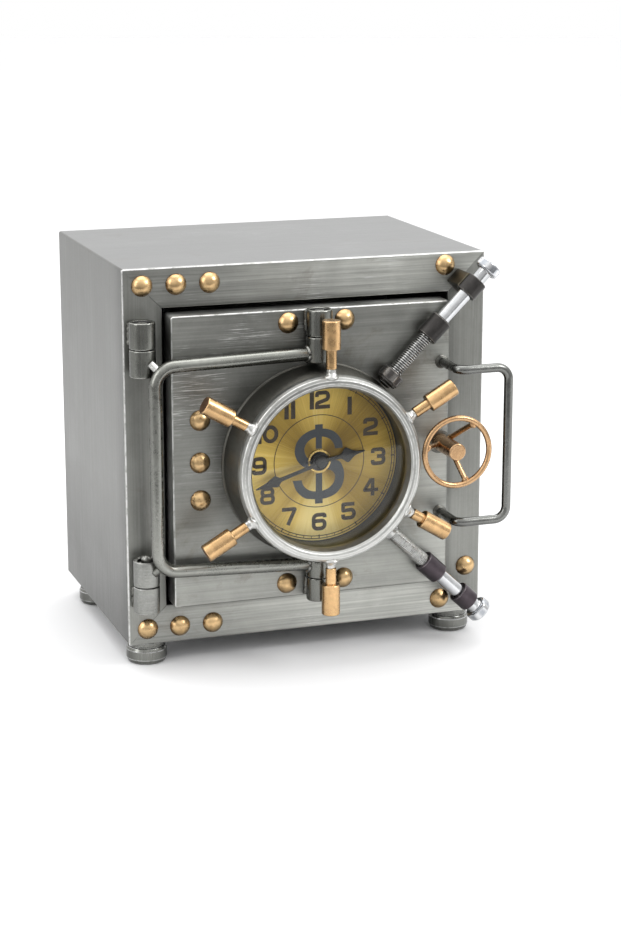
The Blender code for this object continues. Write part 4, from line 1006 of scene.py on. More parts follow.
def strip(name, kind, first):
    """A mitred strip. t runs from the outer edge inwards, s along the strip."""
    if kind in ("top", "bottom"):
        width = (CH - OZ1) if kind == "top" else OZ0
        s0, s1 = -W2, W2
    else:
        width = W2 - OX
        s0, s1 = 0.0, CH
    e_out, e_in = 0.85, 0.4
    prof = [(0.25, -2.0, 0), (0.0, -1.7, 0), (0.0, -e_out - 0.15, 0)]
    for k in range(6):
        a = math.pi / 2 * k / 5
        prof.append((e_out * (1 - math.cos(a)), -e_out + e_out * math.sin(a), math.sin(math.pi * k / 5)))
    prof += [(e_out + 0.3, 0.0, 0), (width * 0.33, 0.0, 0), (width * 0.66, 0, 0), (width - e_in - 0.25, 0.0, 0)]
    for k in range(5):
        a = math.pi / 2 * k / 4
        prof.append((width - e_in + e_in * math.sin(a), -e_in + e_in * math.cos(a), math.sin(math.pi * k / 4)))
    prof += [(width, -1.7, 0), (width - 0.25, -2.0, 0)]
    rc = 0.9
    Bs = Build()
    rows = []
    steps = [(0.0, 0.10), (0.14, 0.0), (0.6, 0.0), (None, 0), (0.6, 0.0), (0.14, 0.0), (0.0, 0.10)]

    def mitre(t, other):
        m = t * other / width
        if t < rc * (1 - math.sqrt(0.5)):
            m = max(m, rc - math.sqrt(max(0.0, rc * rc - (rc - t) ** 2)))
        return m + 0.05
    if kind == "top":
        m0 = m1 = W2 - OX
    elif kind == "bottom":
        m0 = m1 = W2 - OX
    else:
        m0, m1 = OZ0, CH - OZ1
    for side in range(len(steps)):
        d, drop = steps[side]
        row, wr = [], []
        for t, h, w in prof:
            a = s0 + mitre(t, m0)
            b = s1 - mitre(t, m1)
            if side == 3:
                s = (a + b) / 2
            elif side < 3:
                s = a + d
            else:
                s = b - d
            hh = h - drop if h > -1.9 else h
            if kind == "top":
                q = P(s, hh, CH - t)
            elif kind == "bottom":
                q = P(s, hh, t)
            elif kind == "left":
                q = P(-W2 + t, hh, s)
            else:
                q = P(W2 - t, hh, s)
            row.append(q)
            wr.append(w if 0 < side < 6 else max(w, 0.35))
        rows.append((row, wr))
    Bs.rings([r for r, _ in rows], [w for _, w in rows], closed=False)
    return Bs.obj(name, "case", ["frame_h" if kind in ("top", "bottom") else "frame_v"],
                  ["front_frame"], "gunmetal", 40)


strip("frame_strip_top", "top", True)
strip("frame_strip_bottom", "bottom", False)
strip("frame_strip_left", "left", False)
strip("frame_strip_right", "right", False)

# feet
foot_prof = fillet([(0, -0.3), (10.4, -0.3), (10.7, -0.9), (10.5, -2.7), (9.7, -3.1), (9.7, -3.7), (10.5, -3.9), (11.2, -5.6),
                    (11.2, -10.4), (10.3, -12.5), (9.3, -13.0), (0, -13.0)],
                   [0, 0.4, 0.4, 0.4, 0.15, 0.15, 0.6, 1.8, 2.0, 0.9, 0.3, 0], 5, False, 0.15)
for nm, fx, fh in (("foot_front_left", -89.5, -13), ("foot_front_right", 89.5, -13),
                   ("foot_rear_left", -89.5, -125), ("foot_rear_right", 89.5, -125)):
    B = Build()
    revolve(B, foot_prof, frame_z(P(fx, fh, 0), (0, 0, 1)), 56, closed=False)
    B.obj(nm + "_turned", "case", ["foot"], [nm], "dark_steel", 40)


# dome rivets
def dome(r, hgt, base, rings=9):
    rs = (r * r + hgt * hgt) / (2 * hgt)
    am = math.asin(min(1.0, r / rs))
    pts = [(0.0, base + hgt, 0.0)]
    for k in range(1, rings + 1):
        a = am * k / rings
        w = max(0.0, (k / rings - 0.72) / 0.28)
        pts.append((rs * math.sin(a) * (1 if k < rings else 0.985), base + hgt - rs + rs * math.cos(a), w))
    pts[-1] = (r - 0.10, base + 0.42, 1.0)
    pts.append((r, base + 0.2, 1.0))
    pts.append((r - 0.08, base, 1.0))
    pts.append((0.0, base, 0.0))
    return pts


frame_rivets = {
    "frame_rivet_top_left_1": (-91.8, 197.2), "frame_rivet_top_left_2": (-73.3, 197.2),
    "frame_rivet_top_left_3": (-54.9, 197.2), "frame_rivet_bottom_left_1": (-91.9, 8.8),
    "frame_rivet_bottom_left_2": (-73.8, 8.8), "frame_rivet_bottom_left_3": (-55.2, 8.8),
    "frame_rivet_top_right": (79.2, 199.6), "frame_rivet_bottom_right_1": (94.1, 26.8),
    "frame_rivet_bottom_right_2": (78.5, 8.9)}
door_rivets = [(-14.5, 174.8), (17.4, 174.8), (-15.6, 30.2), (17.0, 30.2),
               (-63.9, 125.2), (-64.2, 102.0), (-64.1, 81.2)]


def rivet(nm, x, h, z, body, seed):
    B = Build()

    def jit(a, r, zz):
        k = noise.noise(Vector((seed * 2.3 + math.cos(a) * r * 0.5, math.sin(a) * r * 0.5, seed)))
        return r * (1 + 0.008 * k), zz + 0.07 * k * min(1.0, r / 3.0) * (1 if zz > h0r + 0.5 else 0)
    h0r = 0.05
    revolve(B, dome(5.7, 4.05, h0r), frame_z(P(x, h, z), FWD), 44, closed=False, jitter=jit)
    B.obj(nm + "_dome", body, ["brass"], [nm], "brass", 50)


for i, (nm, (rx, rz)) in enumerate(frame_rivets.items()):
    rivet(nm, rx, 0, rz, "case", i + 1)
for i, (rx, rz) in enumerate(door_rivets):
    rivet("door_rivet_%d" % (i + 1), rx, 10.0, rz, "door", i + 20)

# =====================================================================================
# Hinges and pivots
# =====================================================================================
HX, HH, PX, PH = -94.0, 7.3, 0.5, 17.3
HU_TOP, HU_SPLIT, HU_BOT = 179.8, 165.3, 150.5
HL_TOP, HL_SPLIT, HL_BOT = 50.2, 35.9, 21.2
PU_TOP, PU_SPLIT, PU_BOT = 182.8, 168.4, 154.4
PL_TOP, PL_SPLIT, PL_BOT = 44.7, 35.0, 21.8
KR = 7.0


def knuckle(nm, z_far, z_split, pin_end, x, h, body, pin):
    s = 1 if z_far > z_split else -1
    a = z_far
    B = Build()
    if pin:
        raw = [(0, a - s * 0.5), (2.2, a - s * 0.55), (3.0, a - s * 1.2), (3.3, a - s * 2.4), (4.9, a - s * 2.4),
               (5.0, a - s * 0.35), (5.7, a), (KR - 0.1, a - s * 0.05), (KR, a - s * 1.1),
               (KR, z_split + s * 1.0), (KR - 0.05, z_split), (3.0, z_split), (3.0, pin_end + s * 0.5),
               (0, pin_end)]
        rad = [0, 1.2, 0.5, 0.2, 0.3, 0.3, 0.3, 0.9, 0, 0, 0.5, 0.1, 0.4, 0]
        pr = fillet(raw, rad, 4, False, 0.2)
        revolve(B, pr, frame_z(P(x, h, 0), (0, 0, 1)), 56, closed=False,
                mats=lambda p, q: (2 if max(p[0], q[0]) < 3.4 else 1) if max(p[0], q[0]) < 5.05 and abs(p[1] - a) < 3 else 0)
    else:
        raw = [(3.25, a - s * 2.6), (5.0, a - s * 2.6), (5.1, a - s * 0.35), (5.7, a), (KR - 0.1, a - s * 0.05),
               (KR, a - s * 1.1), (KR, z_split + s * 1.0), (KR - 0.05, z_split), (3.25, z_split)]
        rad = [0, 0.2, 0.3, 0.3, 0.9, 0, 0, 0.5, 0]
        pr = fillet(raw, rad, 4, True, 0.2)
        revolve(B, pr, frame_z(P(x, h, 0), (0, 0, 1)), 56, closed=True,
                mats=lambda p, q: 1 if max(p[0], q[0]) < 5.15 else 0)
    mk = "knuckle_low" if "hinge_lower" in nm else "knuckle"
    # the barrel's bore takes the near-black inner steel, painted shade
    B.obj(nm + "_turned", body, [mk, "inner", "pin"], [nm], "dark_steel", 38)


knuckle("hinge_upper_fixed_knuckle", HU_TOP, HU_SPLIT + .25, HU_BOT + 1, HX, HH, "case", True)
knuckle("hinge_upper_arm_knuckle", HU_BOT, HU_SPLIT - .25, None, HX, HH, "crane", False)
knuckle("hinge_lower_fixed_knuckle", HL_BOT, HL_SPLIT - .25, HL_TOP - 4, HX, HH, "case", True)
knuckle("hinge_lower_arm_knuckle", HL_TOP, HL_SPLIT + .25, None, HX, HH, "crane", False)
knuckle("pivot_upper_door_knuckle", PU_TOP, PU_SPLIT + .25, PU_BOT + 1, PX, PH, "door", True)
knuckle("pivot_upper_arm_knuckle", PU_BOT, PU_SPLIT - .25, None, PX, PH, "crane", False)
knuckle("pivot_lower_door_knuckle", PL_BOT, PL_SPLIT - .25, PL_TOP - 3.2, PX, PH, "door", True)
knuckle("pivot_lower_arm_knuckle", PL_TOP, PL_SPLIT + .25, None, PX, PH, "crane", False)

# weld seams that hold the fixed knuckles on the frame and the door knuckles on the door
B = Build()
for k, (z0, z1) in enumerate(((HU_SPLIT + 1.2, HU_TOP - 1.0), (HL_BOT + 1.0, HL_SPLIT - 1.2))):
    for sx in (-1, 1):
        bead(B, [(HX + sx * 5.4, 1.15, z0), (HX + sx * 5.4, 1.15, z1)], 1.35, seed=k * 2 + sx + 3)
B.obj("hinge_weld_seams", "case", ["weld"], (), "dark_steel", 60)
B = Build()
for k, (z0, z1) in enumerate(((PU_SPLIT + 1.2, PU_TOP - 1.0), (PL_BOT + 1.0, PL_SPLIT - 1.2))):
    for sx in (-1, 1):
        bead(B, [(PX + sx * 5.4, 11.2, z0), (PX + sx * 5.4, 11.2, z1)], 1.35, seed=k * 2 + sx + 13)
B.obj("pivot_weld_seams", "door", ["weld"], (), "dark_steel", 60)

# crane arm
AH = 17.3
path = arc_points([(PX - 6.7, AH, 158.73), (-90.0, AH, 156.6), (-90.0, AH, 45.6), (PX - 6.7, AH, 42.45)], [11.0, 11.0], 14)
path = densify(path, 3.0)
B = Build()
tube(B, path, 3.5, 28)
B2 = Build()
for (p0, p1) in (((-93.0, 11.0, 160.2), (-86.9, AH, 153.3)), ((-93.0, 11.0, 42.0), (-86.9, AH, 48.9))):
    a, b = Vector(p0), Vector(p1)
    t = 0.0
    while t < 0.9:
        q = a.lerp(b, t)
        if math.hypot(q.x - HX, q.y - HH) > 6.4:
            break
        t += 0.01
    # the upper stub is built apart in the pale painted-highlight steel; the lower one goes with the rod
    tube(B2 if a.z > 100 else B, densify([a.lerp(b, t), b], 1.0), 2.3 if a.z > 100 else 2.0, 20)
B2.obj("crane_arm_stub_upper", "crane", ["stub"], (), "dark_steel", 50)
B.obj("crane_arm_rod", "crane", ["rod"], ["crane_arm"], "dark_steel", 50)
# welds of the arm: at both hinge stubs and at the two pivots
B = Build()
for k, (zc, sgn) in enumerate(((158.4, 1), (43.6, -1))):
    blob(B, (-90.4, 12.9, zc), (1.7, 1.5, 1.5), seed=5 + k, amp=0.30)
    blob(B, (-88.6, 15.6, zc - sgn * 3.6), (1.7, 1.6, 1.6), seed=9 + k, amp=0.30)
B.obj("arm_stub_welds", "crane", ["weld"], (), "dark_steel", 60)
B = Build()
for k, zc in enumerate((158.73, 42.45)):
    n_ = 26
    ringp = []
    for j in range(n_ + 1):
        a = 2 * math.pi * j / n_
        y, z = 3.7 * math.cos(a), 3.7 * math.sin(a)
        xk = PX - math.sqrt(max(0.0, KR * KR - y * y)) - 0.1
        ringp.append((xk, AH + y, zc + z))
    bead(B, ringp, 0.95, seed=21 + k, segs=10, step=0.6, amp=0.45)
B.obj("arm_pivot_welds", "crane", ["weld_mid"], (), "dark_steel", 60)

# rough upset end of the lower hinge pin, standing a little above its barrel
B = Build()


def rough(t, r, z):
    q = noise.noise(Vector((math.cos(t) * r * 0.9, math.sin(t) * r * 0.9, z * 1.4)))
    return max(0.2, r + 0.55 * q), z + 0.45 * q


pr = [(0.0, 53.0, 0), (1.2, 52.9, 0), (2.2, 52.5, .4), (2.9, 51.6, .4), (3.1, 50.6, 0), (2.7, 49.6, 0), (3.0, 48.6, 0),
      (2.8, 47.0, 0), (2.6, 46.3, 0), (0.0, 46.3, 0)]
revolve(B, pr, frame_z(P(HX, HH, 0), (0, 0, 1)), 36, closed=False, jitter=rough)
B.obj("lower_hinge_pin_end", "case", ["weld_mid"], (), "dark_steel", 60)
# messy weld bits on top of the lower hinge barrel
B = Build()
rng = np.random.default_rng(4)
for k in range(7):
    a = 2.4 + 0.62 * k
    rr = 5.75 + 0.25 * math.sin(3 * a)
    blob(B, (HX + rr * math.cos(a), HH + rr * math.sin(a), HL_TOP - 0.15), (0.8 + 0.3 * (k % 2), 0.8, 0.55),
         seed=31 + k, amp=0.4, segs=12, rows=7)
B.obj("lower_hinge_spatter", "crane", ["weld_mid"], (), "dark_steel", 60)

# =====================================================================================
# Door
# =====================================================================================
DX0, DX1, DZ0, DZ1, DH, DB = -79.2, 78.4, 22.3, 181.8, 10.0, -4.0
B = Build()


def door_loop(d, r=1.6):
    return rrect(DX0 + d, DX1 - d, DZ0 + d, DZ1 - d, max(r - d, 0.08), 6)


def win_loop(d):
    return rrect(1.3 - 29.5 + d, 1.3 + 29.5 - d, 98.9 - 29.5 + d, 98.9 + 29.5 - d, 0.8, 3)


def hole_loop(d):
    return circ(73.0, 103.2, 2.9 - d, 24)


E = 0.95
ds = [(door_loop(1.2, 1.6), DB, 0), (door_loop(0.3), DB, 0.0), (door_loop(0.08), DB + 0.1, .7), (door_loop(0), DB + 0.35, 0),
      (door_loop(0), DB + 0.8, 0), (door_loop(0), DH - E - 0.3, 0)]
for k in range(7):
    a = math.pi / 2 * k / 6
    ds.append((door_loop(E * (1 - math.cos(a))), DH - E + E * math.sin(a), math.sin(math.pi * k / 6)))
ds.append((door_loop(E + 0.3), DH, 0))
wall(B, [(lp, h) for lp, h, _ in ds], [w for _, _, w in ds], [2] * 5 + [0] * (len(ds) - 6))
fill(B, ds[-1][0], [win_loop(0), hole_loop(0)], DH)
# the window walls and the pan's inside take the near-black inner steel, painted shade
for f in (win_loop, hole_loop):
    wall(B, [(f(0), DH), (f(0), DH - 1.5)], None, [1])
ins = [(door_loop(1.5), DH - 1.5), (door_loop(1.5), DB + 0.1), (door_loop(1.2), DB)]
wall(B, ins, None, [1, 1])
fill(B, door_loop(1.5), [win_loop(0), hole_loop(0)], DH - 1.5, 1)
B.obj("door_pressed_pan", "door", ["door", "inner", "flange"], ["door_panel"], "gunmetal", 38, WELD)

# =====================================================================================
# Clock
# =====================================================================================
CX, CZ = 1.3, 98.9
MC = frame_z(P(CX, 0, CZ), FWD)

raw = [(45.0, 30.4), (50.0, 30.4), (50.2, 30.1), (52.95, 11.75), (53.4, 11.3), (53.4, 10.32), (42.8, 10.32),
       (42.8, 13.9), (45.0, 13.9)]
pr = fillet(raw, [0.15, 0.15, 0, 0.15, 0.25, 0, 0, 0.1, 0], 3, True, 0.3)
B = Build()
# the inner wall takes the darker painted-shade steel
revolve(B, pr, MC, 144, closed=True,
        mats=lambda p, q: 1 if (p[0] + q[0]) / 2 < 45.1 else 0)
B.obj("dial_housing_drum", "door", ["drum", "drum_in"], ["dial_housing"], "dark_steel", 38)
# thin bright rim where the drum meets the door
B = Build()
pr = fillet([(53.3, 10.35), (53.75, 10.35), (53.75, 10.65), (53.5, 10.95), (53.2, 11.0)], 0.1, 3, True, 0.1)
revolve(B, pr, MC, 144, closed=True)
B.obj("drum_base_lip", "door", ["drum"], (), "ring_steel", 50)

# bezel ring
raw = [(50.4, 30.85), (51.15, 31.3), (51.2, 34.6), (50.4, 36.8),
       (48.9, 38.05), (47.3, 38.38), (45.9, 37.9), (45.0, 36.7), (44.6, 35.6), (43.75, 33.0), (43.7, 31.0), (44.0, 30.85)]
rad = [0.2, 0.3, 1.6, 1.6, 1.6, 1.6, 1.2, 0.9, 0.6, 0.5, 0.1, 0.1]
pr = fillet(raw, rad, 3, True, 0.3)
pr = [(r, z, w if (z > 35 and r > 45) else 0.0) for r, z, w in pr]
B = Build()
revolve(B, pr, MC, 168, closed=True, mats=lambda p, q: 1 if (p[0] + q[0]) / 2 < 44.95 else 0)
PEG_H = 34.4
angs = [math.radians(90 - 60 * k) for k in range(6)]
angs[2] -= math.radians(1.3)
B.obj("bezel_ring_turned", "door", ["ring", "ring_in"], ["bezel_ring"], "ring_steel", 30)
B = Build()
for k, a in enumerate(angs):
    M = frame_z(P(CX, PEG_H, CZ) , V(math.cos(a), 0, math.sin(a)), V(0, 1, 0))

    def jit(t, r, z, k=k):
        q = noise.noise(Vector((math.cos(t) * 1.3 + k * 5, math.sin(t) * 1.3, z * 0.7)))
        return r * (1 + 0.12 * q), z + 0.2 * q
    pr = fillet([(0, 49.0), (3.6, 49.0), (4.6, 50.3), (3.4, 51.4), (2.55, 52.9), (2.5, 54.0), (2.35, 54.55), (0, 54.55)],
                [0, 0, 0.6, 1.4, 1.2, 0.3, 0.2, 0], 5, False, 0.15)
    revolve(B, pr, M, 28, closed=False, jitter=jit)
B.obj("ring_peg_welds", "door", ["weld_bright"], (), "ring_steel", 60)

# glass
B = Build()
pr = fillet([(0, 30.4), (44.5, 30.4), (44.5, 29.0), (0, 29.0)], [0, .3, .3, 0], 3, False, 0.2)
revolve(B, pr, MC, 96, closed=False)
gl = B.obj("clock_glass_pane", "door", ["glass"], ["clock_glass"], "glass", 30)
gl.visible_shadow = False

# dial with its centre hole
B = Build()
pr = fillet([(3.2, 15.0), (44.55, 15.0), (44.55, 14.2), (3.2, 14.2)], [0.1, .2, .1, 0.1], 3, True, 0.2)
revolve(B, pr, MC, 128, closed=True)
B.obj("dial_plate_disc", "door", ["dial"], ["dial_plate"], "gold_dial", 35)

H0, H1 = 15.005, 15.07


def flat(B, loop, holes=(), h0=H0, h1=H1, m=0, wear=0.0):
    """A thin printed shape. Loops in dial coordinates (u right, v up) about the clock's middle."""
    ol = [(CX + u, CZ + v) for u, v in loop]
    hl = [[(CX + u, CZ + v) for u, v in q] for q in holes]
    fill(B, ol, hl, h1, m)
    fill(B, ol, hl, h0, m)
    for lp in [ol] + hl:
        wall(B, [(lp, h0), (lp, h1)], [wear, wear], [m])


def ucirc(r, n=120, cu=0.0, cv=0.0):
    return [(cu + r * math.cos(2 * math.pi * k / n), cv + r * math.sin(2 * math.pi * k / n)) for k in range(n)]


# minute track: two rings, ticks between them, and the five-minute marks
B = Build()
flat(B, ucirc(43.65), [ucirc(43.22)])
flat(B, ucirc(42.15), [ucirc(41.72)])
for k in range(60):
    a = math.radians(90 - 6 * k)
    w = 0.30 if k % 5 == 0 else 0.16
    d, n_ = Vector((math.cos(a), math.sin(a))), Vector((-math.sin(a), math.cos(a)))
    r0, r1 = 42.1, 43.3
    flat(B, [tuple(d * r0 - n_ * w), tuple(d * r1 - n_ * w), tuple(d * r1 + n_ * w), tuple(d * r0 + n_ * w)])
for k in range(12):
    a = math.radians(90 - 30 * k)
    d, n_ = Vector((math.cos(a), math.sin(a))), Vector((-math.sin(a), math.cos(a)))
    flat(B, [tuple(d * 41.9 - n_ * 0.5), tuple(d * 41.9 + n_ * 0.5), tuple(d * 41.1)])
flat(B, ucirc(25.85, 100), [ucirc(25.40, 100)])
B.obj("dial_minute_track", "door", ["numeral"], (), "gold_dial", 30, WELD)


# numerals, built of strokes
def stroke(B, pts, w, closed=False, h0=H0, h1=H1, m=0):
    """A flat stroke of width w along a polyline, mitred at its corners."""
    pts = [Vector(p) for p in pts]
    n = len(pts)
    L, R = [], []
    for i in range(n):
        if closed:
            a, b, c = pts[i - 1], pts[i], pts[(i + 1) % n]
            d0, d1 = (b - a).normalized(), (c - b).normalized()
        else:
            b = pts[i]
            d0 = (b - pts[i - 1]).normalized() if i else (pts[1] - b).normalized()
            d1 = (pts[i + 1] - b).normalized() if i < n - 1 else d0
        n0, n1 = Vector((-d0.y, d0.x)), Vector((-d1.y, d1.x))
        mm = (n0 + n1)
        mm = mm.normalized() / max(0.5, (mm.normalized()).dot(n0)) if mm.length > 1e-6 else n0
        L.append(tuple(b + mm * w / 2))
        R.append(tuple(b - mm * w / 2))
    top, bot = [], []
    for q in L + R:
        top.append(B.add([P(CX + q[0], h1, CZ + q[1])]))
        bot.append(B.add([P(CX + q[0], h0, CZ + q[1])]))
    for i in range(n if closed else n - 1):
        j = (i + 1) % n
        B.face((top[i], top[j], top[n + j], top[n + i]), m)
        B.face((bot[i], bot[n + i], bot[n + j], bot[j]), m)
        B.face((top[i], bot[i], bot[j], top[j]), m)
        B.face((top[n + i], top[n + j], bot[n + j], bot[n + i]), m)
    if not closed:
        for i in (0, n - 1):
            B.face((top[i], top[n + i], bot[n + i], bot[i]), m)


def sum_area(lp):
    return sum(lp[i][0] * lp[(i + 1) % len(lp)][1] - lp[(i + 1) % len(lp)][0] * lp[i][1] for i in range(len(lp))) / 2


def soft(pts, r, closed=False, steps=5):
    return [(a, b) for a, b, _ in fillet(pts, r, steps, closed, 5.0)]


def digit(ch, cu, cv, hgt=9.9, wid=8.5, w=2.15):
    """Centre-line strokes of a digit, centred on (cu, cv)."""
    x, y = wid / 2 - w / 2, hgt / 2 - w / 2
    r = 2.2
    res = []

    def at(q):
        return [(cu + a, cv + b) for a, b in q]
    if ch == "1":
        res.append((at([(0.35, -hgt / 2), (0.35, hgt / 2)]), False, w * 1.15))
    elif ch == "2":
        res.append((at(soft([(-x, y * 0.45), (-x, y), (x, y), (x, 0.25), (-x, -y * 0.45), (-x, -y), (-x, -y)][:5] +
                            [(-x, -y)], [0, r, r, r * 0.8, 1.2, 0])), False, w))
        res.append((at([(-x - w / 2, -y), (x + w / 2, -y)]), False, w))
    elif ch == "3":
        res.append((at(soft([(-x, y * 0.5), (-x, y), (x, y), (x, 0.0), (-0.7, 0.0)], [0, r, r, r * .7, 0])), False, w))
        res.append((at(soft([(-0.7, 0.0), (x, 0.0), (x, -y), (-x, -y), (-x, -y * 0.5)], [0, r * .7, r, r, 0])), False, w))
    elif ch == "4":
        res.append((at([(x * 0.45, -hgt / 2), (x * 0.45, hgt / 2)]), False, w))
        res.append((at(soft([(x * 0.2, hgt / 2 - 0.4), (-x - 0.1, -y * 0.42), (x + w * 0.7, -y * 0.42)], [0, 0.2, 0])), False,
                    w * 0.92))
    elif ch == "5":
        res.append((at(soft([(x + .2, y), (-x, y), (-x, 0.35), (x, 0.75), (x, -y), (-x, -y), (-x, -y * 0.45)],
                            [0, 0.2, 0.2, r, r, r, 0])), False, w))
    elif ch == "6":
        res.append((at(soft([(x, y * 0.55), (x, y), (-x, y), (-x, -y), (x, -y), (x, 0.45), (-x, 0.45)],
                            [0, r, r, r, r, r * .8, 0])), False, w))
    elif ch == "7":
        res.append((at(soft([(-x - w / 2, y), (x, y), (-0.9, -hgt / 2)], [0, 0.3, 0])), False, w))
    elif ch == "8":
        res.append((at(soft([(-x + .25, y), (x - .25, y), (x - .25, 0.15), (-x + .25, 0.15)], [1.7] * 4, True)), True, w * 0.95))
        res.append((at(soft([(-x, 0.15), (x, 0.15), (x, -y), (-x, -y)], [1.8] * 4, True)), True, w * 0.95))
    elif ch == "9":
        res.append((at(soft([(-x, -y * 0.55), (-x, -y), (x, -y), (x, y), (-x, y), (-x, -0.35), (x, -0.35)],
                            [0, r, r, r, r, r * .8, 0])), False, w))
    elif ch == "0":
        n = 40
        res.append((at([(x * 1.05 * math.cos(2 * math.pi * k / n), y * math.sin(2 * math.pi * k / n)) for k in range(n)]),
                    True, w))
    return res


B = Build()
lv = 0
for num in range(1, 13):
    a = math.radians(90 - 30 * num)
    R = 34.0
    cu, cv = R * math.cos(a), R * math.sin(a)
    if num == 12:
        cv -= 0.2
    s = str(num)
    if len(s) == 1:
        parts = [(s, cu)]
    else:
        wd = {"1": 2.6, "0": 8.4, "2": 8.0}
        tot = wd[s[0]] + wd[s[1]] + 1.1
        parts = [(s[0], cu - tot / 2 + wd[s[0]] / 2), (s[1], cu + tot / 2 - wd[s[1]] / 2)]
    for chh, u in parts:
        for j, (pts, closed, w) in enumerate(digit(chh, u, cv)):
            lv = 0.004 * j
            stroke(B, pts, w, closed, H0, H1 + lv)
B.obj("dial_numerals", "door", ["numeral"], (), "gold_dial", 30, WELD)

# money motif round the middle: a broad S with two end tabs and an inner bar
B = Build()


def bez(pts, n=10):
    """Smooth Catmull-Rom line through points."""
    out = []
    q = [Vector(p) for p in pts]
    for i in range(len(q) - 1):
        p0 = q[i - 1] if i else q[i] * 2 - q[i + 1]
        p1, p2 = q[i], q[i + 1]
        p3 = q[i + 2] if i + 2 < len(q) else q[i + 1] * 2 - q[i]
        for k in range(n):
            t = k / n
            out.append(tuple(0.5 * ((2 * p1) + (p2 - p0) * t + (2 * p0 - 5 * p1 + 4 * p2 - p3) * t * t +
                                    (3 * p1 - p0 - 3 * p2 + p3) * t ** 3)))
    out.append(tuple(q[-1]))
    return out


outer = bez([(13.5, 6.4), (12.6, 10.9), (9.2, 15.3), (4.6, 17.5), (-0.1, 17.95), (-4.9, 17.4), (-9.6, 14.9),
             (-12.8, 11.2), (-13.95, 6.7), (-13.4, 3.2), (-12.2, 0.7), (-10.3, -1.4), (-8.0, -3.1), (-4.0, -4.6), (0.0, -5.0)], 8)
inner = bez([(9.0, 6.4), (8.5, 8.6), (6.6, 11.4), (3.4, 13.1), (-0.1, 13.5), (-3.6, 13.0), (-6.7, 11.1), (-8.3, 8.3),
             (-8.35, 5.8), (-7.6, 3.7), (-6.2, 1.9), (-4.0, 0.6), (-1.0, -0.1), (3.0, -0.2), (7.2, -0.3)], 8)
upper = outer + [(3.0, -5.2)] + []
# upper half of the S: outer line down the left, through the middle; inner line back
u_loop = outer + [(2.6, -4.9), (4.6, -4.9)] + [(8.2, -0.9)] + list(reversed(inner))
flat(B, u_loop)
outer2 = bez([(7.2, -0.35), (9.6, -0.2), (12.1, -1.5), (13.7, -4.9), (14.35, -9.4), (13.1, -14.7), (9.6, -18.9), (4.6, -20.9),
              (-0.2, -21.25), (-4.6, -20.9), (-8.6, -19.9), (-12.9, -15.8), (-15.25, -9.9)], 8)
inner2 = bez([(4.5, -4.9), (6.9, -5.7), (8.5, -7.2), (9.1, -9.4), (8.3, -12.6), (5.6, -15.3), (2.6, -16.5), (-0.2, -16.8),
              (-3.9, -16.5), (-7.2, -14.9), (-9.4, -12.3), (-10.0, -9.9)], 8)
flat(B, outer2 + list(reversed(inner2)), (), H0, H1 + 0.003)
flat(B, [(-2.4, 20.4), (-2.4, 17.3), (2.0, 17.3), (2.0, 20.4)], (), H0, H1 + 0.006)
flat(B, [(-2.0, 14.0), (-2.0, 6.9), (1.5, 6.9), (1.5, 14.0)], (), H0, H1 + 0.006)
flat(B, [(-2.0, -6.8), (-2.0, -17.2), (1.7, -17.2), (1.7, -6.8)], (), H0, H1 + 0.006)
flat(B, [(-2.4, -20.7), (-2.4, -23.7), (2.0, -23.7), (2.0, -20.7)], (), H0, H1 + 0.009)
B.obj("dial_money_motif", "door", ["motif"], (), "gold_dial", 30, WELD)

# raised gold ring round the arbor hole, and the dark washer inside it
B = Build()
pr = fillet([(5.15, 15.1), (5.35, 15.62), (6.35, 15.62), (6.75, 15.1)], 0.2, 4, True, 0.1)
revolve(B, pr, MC, 72, closed=True)
B.obj("dial_hub_ring", "door", ["gold"], (), "brass", 40)
B = Build()
pr = fillet([(2.95, 15.08), (2.95, 15.3), (5.2, 15.3), (5.2, 15.08)], 0.06, 3, True, 0.1)
revolve(B, pr, MC, 56, closed=True)
B.obj("dial_hub_washer", "door", ["black"], (), "black_paint", 40)


# hands
def hand_piece(name, body, node, outline, hub, h_mid, thick, angle, extra):
    a = math.radians(angle)
    d = Vector((math.sin(a), math.cos(a)))
    n_ = Vector((math.cos(a), -math.sin(a)))
    left = [(s, -w) for s, w in outline]
    right = [(s, w) for s, w in reversed(outline)]
    loop = left + right
    area = sum_area(loop)

    def to(lp):
        return [(CX + (d * s + n_ * w).x, CZ + (d * s + n_ * w).y) for s, w in lp]

    def inset(lp, e):
        out = []
        n2 = len(lp)
        for i in range(n2):
            p0, p1, p2 = Vector(lp[i - 1]), Vector(lp[i]), Vector(lp[(i + 1) % n2])
            d0, d1 = (p1 - p0), (p2 - p1)
            if d0.length < 1e-6 or d1.length < 1e-6:
                out.append(tuple(p1))
                continue
            d0.normalize()
            d1.normalize()
            sgn = 1 if area > 0 else -1
            n0 = Vector((-d0.y, d0.x)) * sgn
            n1 = Vector((-d1.y, d1.x)) * sgn
            mm = (n0 + n1)
            mm = mm.normalized() / max(0.6, mm.normalized().dot(n0)) if mm.length > 1e-6 else n0
            out.append(tuple(p1 + mm * e))
        return out
    B = Build()
    h0, h1 = h_mid - thick / 2, h_mid + thick / 2
    l0 = loop
    l1 = inset(loop, 0.13)
    wall(B, [(to(l0), h0), (to(l0), h1 - 0.14), (to(l1), h1)], [0.3, 1.0, 0.6])
    fill(B, to(l1), [], h1)
    fill(B, to(l0), [], h0)
    for pr, closed in hub:
        revolve(B, pr, MC, 48, closed=closed)
    o = B.obj(name, body, ["hand"], [node], "black_paint", 38, WELD)
    return o


def smooth_outline(pts, n=5):
    q = bez(pts, n)
    return [(s, max(w, 0.06)) for s, w in q]


